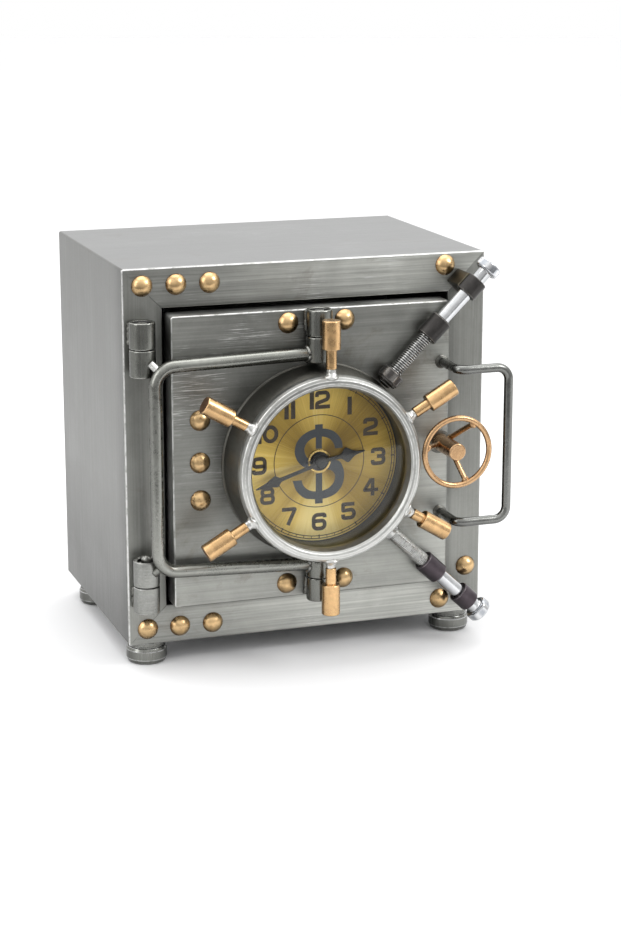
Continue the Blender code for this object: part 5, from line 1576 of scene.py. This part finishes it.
hour_out = smooth_outline([(-5.0, 1.1), (0.0, 1.1), (9.0, 1.0), (11.6, 1.1), (13.2, 2.2), (14.6, 3.7), (15.8, 4.1),
                           (17.2, 3.3), (19.0, 1.9), (21.2, 1.0), (24.0, 0.65), (26.0, 0.3)])
min_out = smooth_outline([(-7.0, 0.9), (0.0, 0.9), (14.0, 1.0), (23.4, 1.1), (25.2, 1.9), (26.6, 3.0), (27.6, 3.1),
                          (29.2, 2.5), (31.6, 1.6), (34.5, 1.0), (39.0, 0.3)])
hub_h = [(fillet([(2.9, 16.2), (4.4, 16.2), (4.4, 17.25), (2.9, 17.25)], 0.15, 3, True, 0.1), True)]
hand_piece("hour_hand_spade", "hour", "hour_hand", hour_out, hub_h, 16.7, 0.7, 80.5, None)
hub_m = [(fillet([(0, 20.1), (2.6, 20.05), (3.4, 19.55), (3.4, 18.5), (1.2, 18.5), (1.2, -2.2), (0, -2.2)],
                 [0, .4, .3, .2, 0, .2, 0], 4, False, 0.15), False)]
hand_piece("minute_hand_spade", "minute", "minute_hand", min_out, hub_m, 19.1, 0.7, 252.0, None)

# movement: plastic box with a ribbed rim, hanging loop and battery bay
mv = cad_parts["clock_movement"]
mv.data.materials.clear()
mv.data.materials.append(MAT["plastic"])
B = Build()
for (x0, x1, z0, z1) in ((-27.2, 27.2, 25.6, 26.6), (-27.2, 27.2, -27.0, -26.0), (-27.2, -26.4, -8.4, 25.2),
                         (26.4, 27.2, -8.4, 25.2), (-18.0, 18.0, 15.4, 16.2), (-18.0, 18.0, 19.4, 20.2)):
    lp = rrect(CX + x0, CX + x1, CZ + z0, CZ + z1, 0.3, 3)
    lp2 = rrect(CX + x0 + .2, CX + x1 - .2, CZ + z0 + .2, CZ + z1 - .2, 0.15, 3)
    wall(B, [(lp, -2.9), (lp, -3.4), (lp2, -3.6)])
    fill(B, lp2, [], -3.6)
    fill(B, lp, [], -2.9)
B.obj("movement_ribs", "door", ["plastic"], (), "black_plastic", 35, WELD)

# battery with its sleeve, cap and shoulder
B = Build()
MB = frame_z(P(CX - 25.3, 4.6, CZ - 17.3), V(1, 0, 0))
pr = fillet([(0, 50.3), (2.7, 50.3), (2.75, 49.3), (6.3, 49.3), (7.05, 48.6), (7.1, 0.7), (6.5, 0.0), (0, 0.0)],
            [0, .5, .3, .5, .5, .6, .3, 0], 4, False, 0.2)
revolve(B, pr, MB, 48, closed=False, mats=lambda p, q: 1 if p[1] > 48.9 or q[1] < 0.3 else 0)
B.obj("battery_cell_sleeved", "door", ["battery", "zinc"], ["battery_cell"], "battery", 40)

# setting knob with a knurled edge
B = Build()
MK = frame_z(P(CX, 0, CZ), V(0, -1, 0))


def knurl(a, r, z):
    return r * (1 - (0.035 * (0.5 + 0.5 * math.cos(24 * a)) if r > 4.9 else 0)), z


pr = fillet([(0, 3.3), (5.2, 3.3), (5.5, 3.7), (5.5, 6.4), (4.9, 6.9), (0, 6.9)], [0, .2, .2, .3, .3, 0], 3, False, .2)
revolve(B, pr, MK, 144, closed=False, jitter=knurl)
B.obj("time_set_knob_knurled", "minute", ["plastic"], ["time_set_knob"], "black_plastic", 35)

# =====================================================================================
# Pegs
# =====================================================================================
for k, nm in enumerate(("peg_12", "peg_02", "peg_04", "peg_06", "peg_08", "peg_10")):
    a = math.radians(90 - 60 * k)
    neck = 9.1
    grip = 17.0
    if nm == "peg_04":
        a -= math.radians(1.3)
        neck = 6.6
    if nm == "peg_12":
        neck, grip = 10.4, 15.7
    r0 = 54.6
    M = frame_z(P(CX + r0 * math.cos(a), PEG_H, CZ + r0 * math.sin(a)), V(math.cos(a), 0, math.sin(a)), V(0, 1, 0))
    e = neck + grip
    raw = [(0, e - 0.05), (4.35, e - 0.05), (4.6, e), (5.0, e - 0.45), (5.0, neck + 0.45), (4.6, neck), (3.05, neck),
           (2.95, neck - 0.1), (2.95, 0.3), (2.6, 0.0), (0, 0.0)]
    pr = fillet(raw, [0, .15, .2, .3, .3, .25, .15, 0, 0.2, .2, 0], 4, False, 0.3)
    B = Build()
    revolve(B, pr, M, 52, closed=False,
            mats=lambda p, q, e=e: 1 if (p[1] + q[1]) / 2 > e - 0.3 and max(p[0], q[0]) < 4.75 else 0)
    # peg 12's end faces up into the light and keeps the plain copper; the other ends take the painted-shade brown
    B.obj(nm + "_turned", "door", ["copper", "copper_end_painted_shade" if nm != "peg_12" else "copper"], [nm], "copper", 38)

# =====================================================================================
# Bolts, nuts, collars
# =====================================================================================
BX, BZ, BH, BR = -2.7, 98.9, 16.3, 3.95


def hexloop(af, M, z, chamfer=0.0, rot=0.0):
    """A hexagon ring of points, with its corners rounded a little."""
    R = af / math.sqrt(3)
    pts = []
    for i in range(6):
        a0 = rot + math.radians(60 * i)
        for da in (-6, -2, 2, 6):
            a = a0 + math.radians(da)
            lim = af / 2 / math.cos((((a - rot) + math.radians(30)) % math.radians(60)) - math.radians(30) - 0)
            pts.append((a, min(R - 0.25, abs(af / 2 / math.cos(((a - rot) % math.radians(60)) - math.radians(30))))))
    out = []
    for a, r in pts:
        out.append(M @ Vector(((r - chamfer) * math.cos(a), (r - chamfer) * math.sin(a), z)))
    return out


def hex_solid(B, M, af, z0, z1, bore=0.0, mat=0, rot=0.0):
    """Hex prism with the usual round chamfers at both ends and an optional bore."""
    n = 24
    rings, wears = [], []

    def add(z, cap_r):
        pts = []
        w = []
        for i in range(6):
            for da in (-7.5, 7.5, 22.5, 37.5):
                a = rot + math.radians(60 * i + da)
                rr = af / 2 / math.cos(((a - rot) % math.radians(60)) - math.radians(30))
                corner = min(rr, af / math.sqrt(3) - 0.15)
                r = min(corner, cap_r) if cap_r else corner
                pts.append(M @ Vector((r * math.cos(a), r * math.sin(a), z)))
                w.append(0.9 if (abs(da) < 8 and not cap_r) else (0.5 if cap_r else 0.0))
        rings.append(pts)
        wears.append(w)
    c = af / 2
    add(z0, c * 0.97)
    add(z0 + 0.25, c * 1.03)
    add(z0 + 0.75, c * 1.13)
    add(z0 + 1.0, None)
    add((z0 + z1) / 2, None)
    add(z1 - 1.0, None)
    add(z1 - 0.75, c * 1.13)
    add(z1 - 0.25, c * 1.03)
    add(z1, c * 0.97)
    if bore:
        for z, r in ((z1 - 0.02, bore + 0.6), (z1 - 0.6, bore), (z0 + 0.6, bore), (z0 + 0.02, bore + 0.6)):
            pts = []
            for i in range(6):
                for da in (-7.5, 7.5, 22.5, 37.5):
                    a = rot + math.radians(60 * i + da)
                    pts.append(M @ Vector((r * math.cos(a), r * math.sin(a), z)))
            rings.append(pts)
            wears.append([0.0] * n)
        B.rings(rings, wears, [mat] * len(rings), closed=True)
    else:
        B.rings(rings, wears, [mat] * (len(rings)), closed=False)


def thread(B, M, s0, s1, R, pitch, depth, segs=40, per=8, mat=0, taper=0.8):
    """A threaded rod surface between s0 and s1, open at both ends where it meets plain rings."""
    n = int((s1 - s0) / pitch * per)
    rings, wears = [], []
    for i in range(n + 1):
        s = s0 + (s1 - s0) * i / n
        pts, w = [], []
        fade = min(1.0, (s - s0) / taper, (s1 - s) / taper)
        fade = max(0.0, fade)
        for j in range(segs):
            a = 2 * math.pi * j / segs
            ph = (s / pitch - j / segs) % 1.0
            tri = abs(ph - 0.5) * 2            # 1 at the crest, 0 in the root
            k = min(1.0, tri * 1.25)
            r = R - depth * (1 - k) * fade
            pts.append(M @ Vector((r * math.cos(a), r * math.sin(a), s)))
            w.append(max(0.0, (k - 0.35) / 0.65) * fade + (1 - fade) * 0.8)
        rings.append(pts)
        wears.append(w)
    return rings, wears


def bolt_pieces(tag, ang, s_nut, s_tip, s_c1, s_c2, s_head, post_w, pitch, depth, colours):
    a = math.radians(ang)
    d = V(math.cos(a), 0, math.sin(a))
    M = frame_z(P(BX, BH, BZ), d, V(0, 1, 0))
    # --- bolt
    B = Build()
    segs = 44
    s_t1 = s_c1 - 4.0
    rings, wears = thread(B, M, s_tip + 0.6, s_t1, BR, pitch, depth, segs)

    def plain(s, r):
        return [M @ Vector((r * math.cos(2 * math.pi * j / segs), r * math.sin(2 * math.pi * j / segs), s))
                for j in range(segs)]
    rings = [plain(s_tip, BR - 0.9), plain(s_tip + 0.1, BR - 0.6)] + rings
    wears = [[0] * segs, [0] * segs] + wears
    for s, r in ((s_t1 + 0.3, BR), (s_c1 + 7.2, BR), (s_c2, BR), (s_head - 0.6, BR), (s_head - 0.2, BR + 0.12),
                 (s_head + 0.1, BR + 0.5)):
        rings.append(plain(s, r))
        wears.append([0] * segs)
    nth = len(rings) - 7
    dark = 2 + int((s_nut + 1.0 - s_tip) / pitch * 8)
    B.rings(rings, wears, [3 if i < dark else (2 if i < nth else 0) for i in range(len(rings))], closed=False)
    # washer face under the head, then the head
    pr = [(0, s_head - 0.0, 0), (5.6, s_head - 0.0, 0), (5.75, s_head + 0.15, .6), (5.75, s_head + 0.5, 0), (0, s_head + 0.5, 0)]
    revolve(B, pr, M, 48, closed=False, mats=lambda p, q: 1)
    hex_solid(B, M, 13.0, s_head + 0.35, s_head + 5.3, 0.0, 1, 0.0)
    B.obj(tag + "_bolt_threaded", "door", [colours[5], colours[0], colours[6], "black"], [tag + "_bolt"], "bright_zinc", 35)
    # --- nut with its flange on the ring side
    B = Build()
    up = tag == "upper"
    hex_solid(B, M, 12.2 if up else 9.2, s_nut + 0.9, s_nut + (7.2 if up else 5.6), BR + 0.15, 0, math.radians(30.0))
    fr_ = 5.95 if up else 4.6
    pr = fillet([(BR + 0.2, s_nut), (fr_ - 0.15, s_nut), (fr_, s_nut + 0.3), (fr_, s_nut + 1.2), (BR + 0.2, s_nut + 1.2)],
                [0, .2, .1, .2, 0], 3, True, 0.0)
    revolve(B, pr, M, 48, closed=True)
    B.obj(tag + "_nut_flanged", "door", [colours[1]], [tag + "_nut"], "black_steel", 35)
    # --- inner collar
    B = Build()
    L1, L2, RC = 13.5, 10.0, 6.0
    z0, z1 = s_c1 - L1 / 2, s_c1 + L1 / 2
    raw = [(BR + 0.12, z1 - 0.4), (BR + 0.5, z1), (RC - 0.5, z1), (RC, z1 - 0.7), (RC, z0 + 0.6), (RC - 0.5, z0),
           (BR + 0.5, z0), (BR + 0.12, z0 + 0.4)]
    pr = fillet(raw, [0, .2, .4, .5, .5, .4, .2, 0], 4, True, 0.2)
    revolve(B, pr, M, 52, closed=True)
    B.obj(tag + "_inner_collar_turned", "door", [colours[2]], [tag + "_inner_collar"], "black_steel", 35)
    # weld seams along the collar's foot on the door
    B = Build()
    for sgn in (-1, 1):
        pth = []
        for q in (z0 + 1.0, z1 - 1.0):
            w = M @ Vector((0, 0, q))
            side = d.cross(V(0, 1, 0)).normalized() * (sgn * 3.2 / 1000.0)
            w = w + side
            pth.append((w.x * 1000 + 1.575, 10.6, w.z * 1000 - 13.0))
        bead(B, pth, 0.95, seed=41 + sgn + len(tag), segs=10, step=0.6, amp=0.4)
    B.obj(tag + "_collar_welds", "door", ["weld"], (), "black_steel", 60)
    # --- outer collar on its stand-off
    B = Build()
    z0, z1 = s_c2 - L2 / 2, s_c2 + L2 / 2
    raw = [(BR + 0.12, z1 - 0.4), (BR + 0.5, z1), (RC - 0.2, z1), (RC, z1 - 0.4), (RC, z0 + 0.4), (RC - 0.2, z0), (BR + 0.5, z0),
           (BR + 0.12, z0 + 0.4)]
    pr = fillet(raw, [0, .2, .25, .3, .3, .25, .2, 0], 3, True, 0.2)
    revolve(B, pr, M, 52, closed=True, mats=lambda p, q: 0)
    # block: rounded box from h 0.6 up to the collar's lower side
    ax = d.cross(V(0, 1, 0)).normalized()
    c0 = M @ Vector((0, 0, s_c2))
    w2, l2 = post_w / 2, L2 / 2 - 0.3
    lv = []
    loop = rrect(-l2, l2, -w2, w2, 0.9, 4)
    loop_in = rrect(-l2 + 0.5, l2 - 0.5, -w2 + 0.5, w2 - 0.5, 0.5, 4)

    def blk(lp, h):
        return [Vector((c0.x, 0, c0.z)) + d * (s / 1000) + ax * (t / 1000) + Vector((0, (-h - 54.3) / 1000.0, 0))
                for s, t in lp]
    top_h = BH - math.sqrt(max(0.0, RC * RC - min(w2, RC * 0.97) ** 2)) if w2 < RC else BH - 0.2
    top_h = min(top_h + 0.5, BH + 1.5)
    B.rings([blk(loop_in, 0.62), blk(loop, 1.1), blk(loop, 1.6), blk(loop, top_h - 0.6), blk(loop, top_h - 0.45), blk(loop_in, top_h)],
            [0, 0.5, 0, 0, 0.7, 0], [1] * 6, closed=False)
    B.obj(tag + "_outer_collar_block", "door", [colours[3], colours[4]], [tag + "_outer_collar"], "black_steel", 35)


bolt_pieces("upper", 45.0, 58.6, 56.8, 98.0, 128.2, 139.4, 13.5, 1.3, 0.6,
            ("zinc_head", "black", "collar_up", "collar_up", "olive", "zinc", "thread"))
bolt_pieces("lower", -43.5, 58.0, 56.4, 95.5, 123.3, 132.6, 6.4, 1.0, 0.30,
            ("zinc_head", "shank_low", "collar_low", "collar_low", "collar_low", "zinc", "shank_low"))

# =====================================================================================
# Pull handle
# =====================================================================================
hp = arc_points([(73.9, 10.15, 148.0), (73.9, 35.0, 148.0), (103.0, 35.0, 148.0), (103.0, 35.0, 63.0),
                 (73.9, 35.0, 63.0), (73.9, 10.15, 63.0)], [5.0, 7.0, 7.0, 5.0], 12)
B = Build()
tube(B, densify(hp, 2.5), 2.5, 26)
B.obj("pull_handle_rod", "door", ["handle"], ["pull_handle"], "dark_steel", 50)
B = Build()
for k, z in enumerate((148.0, 63.0)):
    M = frame_z(P(73.9, 0, z), FWD)

    def jit(t, r, zz, k=k):
        q = noise.noise(Vector((math.cos(t) * 1.2 + k * 7, math.sin(t) * 1.2, 2.0)))
        return r * (1 + (0.10 * q if r > 2.9 else 0)), zz + (0.15 * q if zz > 10.3 else 0)
    pr = fillet([(2.3, 10.05), (3.9, 10.05), (3.8, 10.4), (3.2, 10.8), (2.7, 11.4), (2.3, 11.7)],
                [0, .2, .3, .5, .4, 0], 4, True, 0.1)
    revolve(B, pr, M, 40, closed=True, jitter=jit)
B.obj("handle_foot_welds", "door", ["weld"], (), "dark_steel", 60)

# =====================================================================================
# Valve wheel with spokes, hub and spindle
# =====================================================================================
WX, WZ, WH = 73.0, 103.2, 36.0
MW = frame_z(P(WX, 0, WZ), FWD)
B = Build()
prof = []
for k in range(18):
    a = 2 * math.pi * k / 18
    prof.append((18.7 + 1.6 * math.cos(a), WH + 1.6 * math.sin(a), 0.0))
revolve(B, prof, MW, 96, closed=True)
for (deg, root) in ((56.5, 16.0), (169.5, 16.5), (-71.5, 27.0)):
    a = math.radians(deg)
    p0 = (WX + 3.6 * math.cos(a), root + (35.8 - root) * (3.6 - 1.5) / 16.8, WZ + 3.6 * math.sin(a))
    p1 = (WX + 18.2 * math.cos(a), 35.8, WZ + 18.2 * math.sin(a))
    mid = ((p0[0] + p1[0]) / 2, (p0[1] + p1[1]) / 2 - 0.25, (p0[2] + p1[2]) / 2)
    tube(B, densify([p0, mid, p1], 1.0), 1.5, 18)
    blob(B, (WX + 17.3 * math.cos(a), 35.2, WZ + 17.3 * math.sin(a)), (2.0, 1.7, 2.0), seed=deg * 0.1, amp=0.22)
    blob(B, (WX + 4.6 * math.cos(a), p0[1] + 0.9, WZ + 4.6 * math.sin(a)), (1.8, 1.8, 1.8), seed=deg * 0.2, amp=0.22)
pr = fillet([(0, 37.4), (4.2, 37.4), (4.75, 36.9), (4.75, 11.5), (4.2, 11.0), (2.5, 11.0), (2.5, -5.2), (0, -5.2)],
            [0, .3, .3, .3, .3, .1, .2, 0], 4, False, 0.3)
revolve(B, pr, MW, 52, closed=False)
B.obj("valve_wheel_spoked", "latch", ["wheel"], ["valve_wheel"], "copper", 45)
# bright washer on the door behind the hub
B = Build()
pr = fillet([(2.95, 10.06), (6.6, 10.06), (6.6, 10.8), (2.95, 10.8)], [0.1, .2, .3, .1], 3, True, 0.2)
revolve(B, pr, MW, 48, closed=True)
B.obj("wheel_washer", "door", ["weld"], (), "bright_zinc", 40)

# plain CAD pieces that keep their own shape
for nm, mt in (("door_back_cover", "cover"), ("latch_cam", "cam")):
    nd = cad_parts[nm]
    nd.data.materials.clear()
    nd.data.materials.append(MAT[mt])
# cover screws
B = Build()
for x, z in ((-70, 31), (69.3, 31), (-70, 173), (69.3, 173), (-70, 102)):
    M = frame_z(P(x, -3.8, z), V(0, -1, 0))
    pr = fillet([(0, 1.3), (1.6, 1.25), (2.9, 0.7), (3.0, 0.02), (0, 0.02)], [0, .8, .4, .1, 0], 4, False, 0.1)
    revolve(B, pr, M, 32, closed=False)
B.obj("cover_screws", "door", ["zinc_head"], (), "bright_zinc", 40)

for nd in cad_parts.values():
    if not nd.hide_render and nd.data.materials and not nd.data.materials[0].name.startswith(
            ("movement_plastic", "door_cover_steel", "cam_zinc")):
        nd.data.materials.clear()
        nd.data.materials.append(MAT["back"])

# =====================================================================================
# Floor, world, lights
# =====================================================================================
sc = bpy.context.scene
for vt in ("Standard",):
    sc.view_settings.view_transform = vt
sc.view_settings.look = 'None'
sc.view_settings.exposure = 0.0
sc.view_settings.gamma = 1.0

# the table's front edge passes (0.145, -0.499) along (0.946, -0.324)
e0 = Vector((0.145, -0.521, 0))
ed = Vector((0.946, -0.324, 0)).normalized()
en = Vector((0.324, 0.946, 0)).normalized()
c1, c2 = e0 - ed * 3.0, e0 + ed * 3.0
me = bpy.data.meshes.new("table_top")
me.from_pydata([tuple(c1), tuple(c2), tuple(c2 + en * 6.0), tuple(c1 + en * 6.0)], [], [(0, 1, 2, 3)])
floor = bpy.data.objects.new("table_top", me)
sc.collection.objects.link(floor)
fm = bpy.data.materials.new("table_white")
fm.use_nodes = True
fb = fm.node_tree.nodes["Principled BSDF"]
fb.inputs["Base Color"].default_value = (0.81, 0.81, 0.815, 1)
fb.inputs["Roughness"].default_value = 0.6
fb.inputs["Specular IOR Level"].default_value = 0.2
me.materials.append(fm)

world = bpy.data.worlds.new("studio")
sc.world = world
world.use_nodes = True
wt = world.node_tree
for n in list(wt.nodes):
    wt.nodes.remove(n)
out = wt.nodes.new("ShaderNodeOutputWorld")
tc = wt.nodes.new("ShaderNodeTexCoord")
sep = wt.nodes.new("ShaderNodeSeparateXYZ")
wt.links.new(tc.outputs["Generated"], sep.inputs[0])


def wmath(op, a, b=None):
    n = wt.nodes.new("ShaderNodeMath")
    n.operation = op
    for i, v in enumerate((a, b)):
        if v is None:
            continue
        if isinstance(v, (int, float)):
            n.inputs[i].default_value = v
        else:
            wt.links.new(v, n.inputs[i])
    return n.outputs[0]


def wrange(v, a, b, c, d):
    n = wt.nodes.new("ShaderNodeMapRange")
    n.interpolation_type = 'SMOOTHSTEP'
    for k, q in zip(("From Min", "From Max", "To Min", "To Max"), (a, b, c, d)):
        n.inputs[k].default_value = q
    wt.links.new(v, n.inputs["Value"])
    return n.outputs["Result"]


back = wrange(sep.outputs[1], -0.35, 0.45, 0.60, 1.10)       # dim in front, bright behind
upw = wrange(sep.outputs[2], 0.25, 0.85, 0.0, 0.55)
strength = wmath('ADD', back, upw)
dark = wrange(sep.outputs[2], -0.30, 0.02, 0.42, 1.0)
strength = wmath('MULTIPLY', strength, dark)
lp = wt.nodes.new("ShaderNodeLightPath")
bg1 = wt.nodes.new("ShaderNodeBackground")
bg1.inputs["Color"].default_value = (1, 1, 1, 1)
wt.links.new(strength, bg1.inputs["Strength"])
bg2 = wt.nodes.new("ShaderNodeBackground")
bg2.inputs["Color"].default_value = (1, 1, 1, 1)
bg2.inputs["Strength"].default_value = 1.0
mx = wt.nodes.new("ShaderNodeMixShader")
wt.links.new(lp.outputs["Is Camera Ray"], mx.inputs[0])
wt.links.new(bg1.outputs[0], mx.inputs[1])
wt.links.new(bg2.outputs[0], mx.inputs[2])
wt.links.new(mx.outputs[0], out.inputs["Surface"])


def area(name, loc, target, sx, sy, power, col=(1, 1, 1)):
    l = bpy.data.lights.new(name, 'AREA')
    l.shape = 'RECTANGLE'
    l.size, l.size_y = sx, sy
    l.energy = power
    l.color = col
    o = bpy.data.objects.new(name, l)
    sc.collection.objects.link(o)
    o.location = loc
    o.rotation_mode = 'QUATERNION'
    o.rotation_quaternion = (Vector(target) - Vector(loc)).to_track_quat('-Z', 'Y')
    o.visible_camera = False
    return o


area("key_right", (0.95, -0.75, 1.05), (0, 0, 0.1), 0.55, 0.55, 7.0)
area("fill_left", (-1.15, -0.35, 0.65), (0, 0, 0.1), 0.5, 1.0, 4.5)
ff = area("front_fill", (-0.15, -1.5, 1.15), (0, -0.15, 0.0), 1.2, 1.2, 9.0)
ff.visible_glossy = False
area("top_soft", (0.0, 0.25, 1.5), (0, 0, 0.1), 1.4, 1.2, 7.0)

cam_d = bpy.data.cameras.new("camera")
cam = bpy.data.objects.new("camera", cam_d)
sc.collection.objects.link(cam)
cam_d.sensor_width = 36.0
cam_d.sensor_fit = 'AUTO'
cam_d.lens = 86.775
cam.location = (-0.38557, -1.18066, 0.40797)
back_v = Vector((-0.31383, -0.91705, 0.24602))
cam.rotation_mode = 'QUATERNION'
cam.rotation_quaternion = (-back_v).to_track_quat('-Z', 'Y')
cam_d.clip_start, cam_d.clip_end = 0.01, 50.0
sc.camera = cam

bpy.context.view_layer.update()
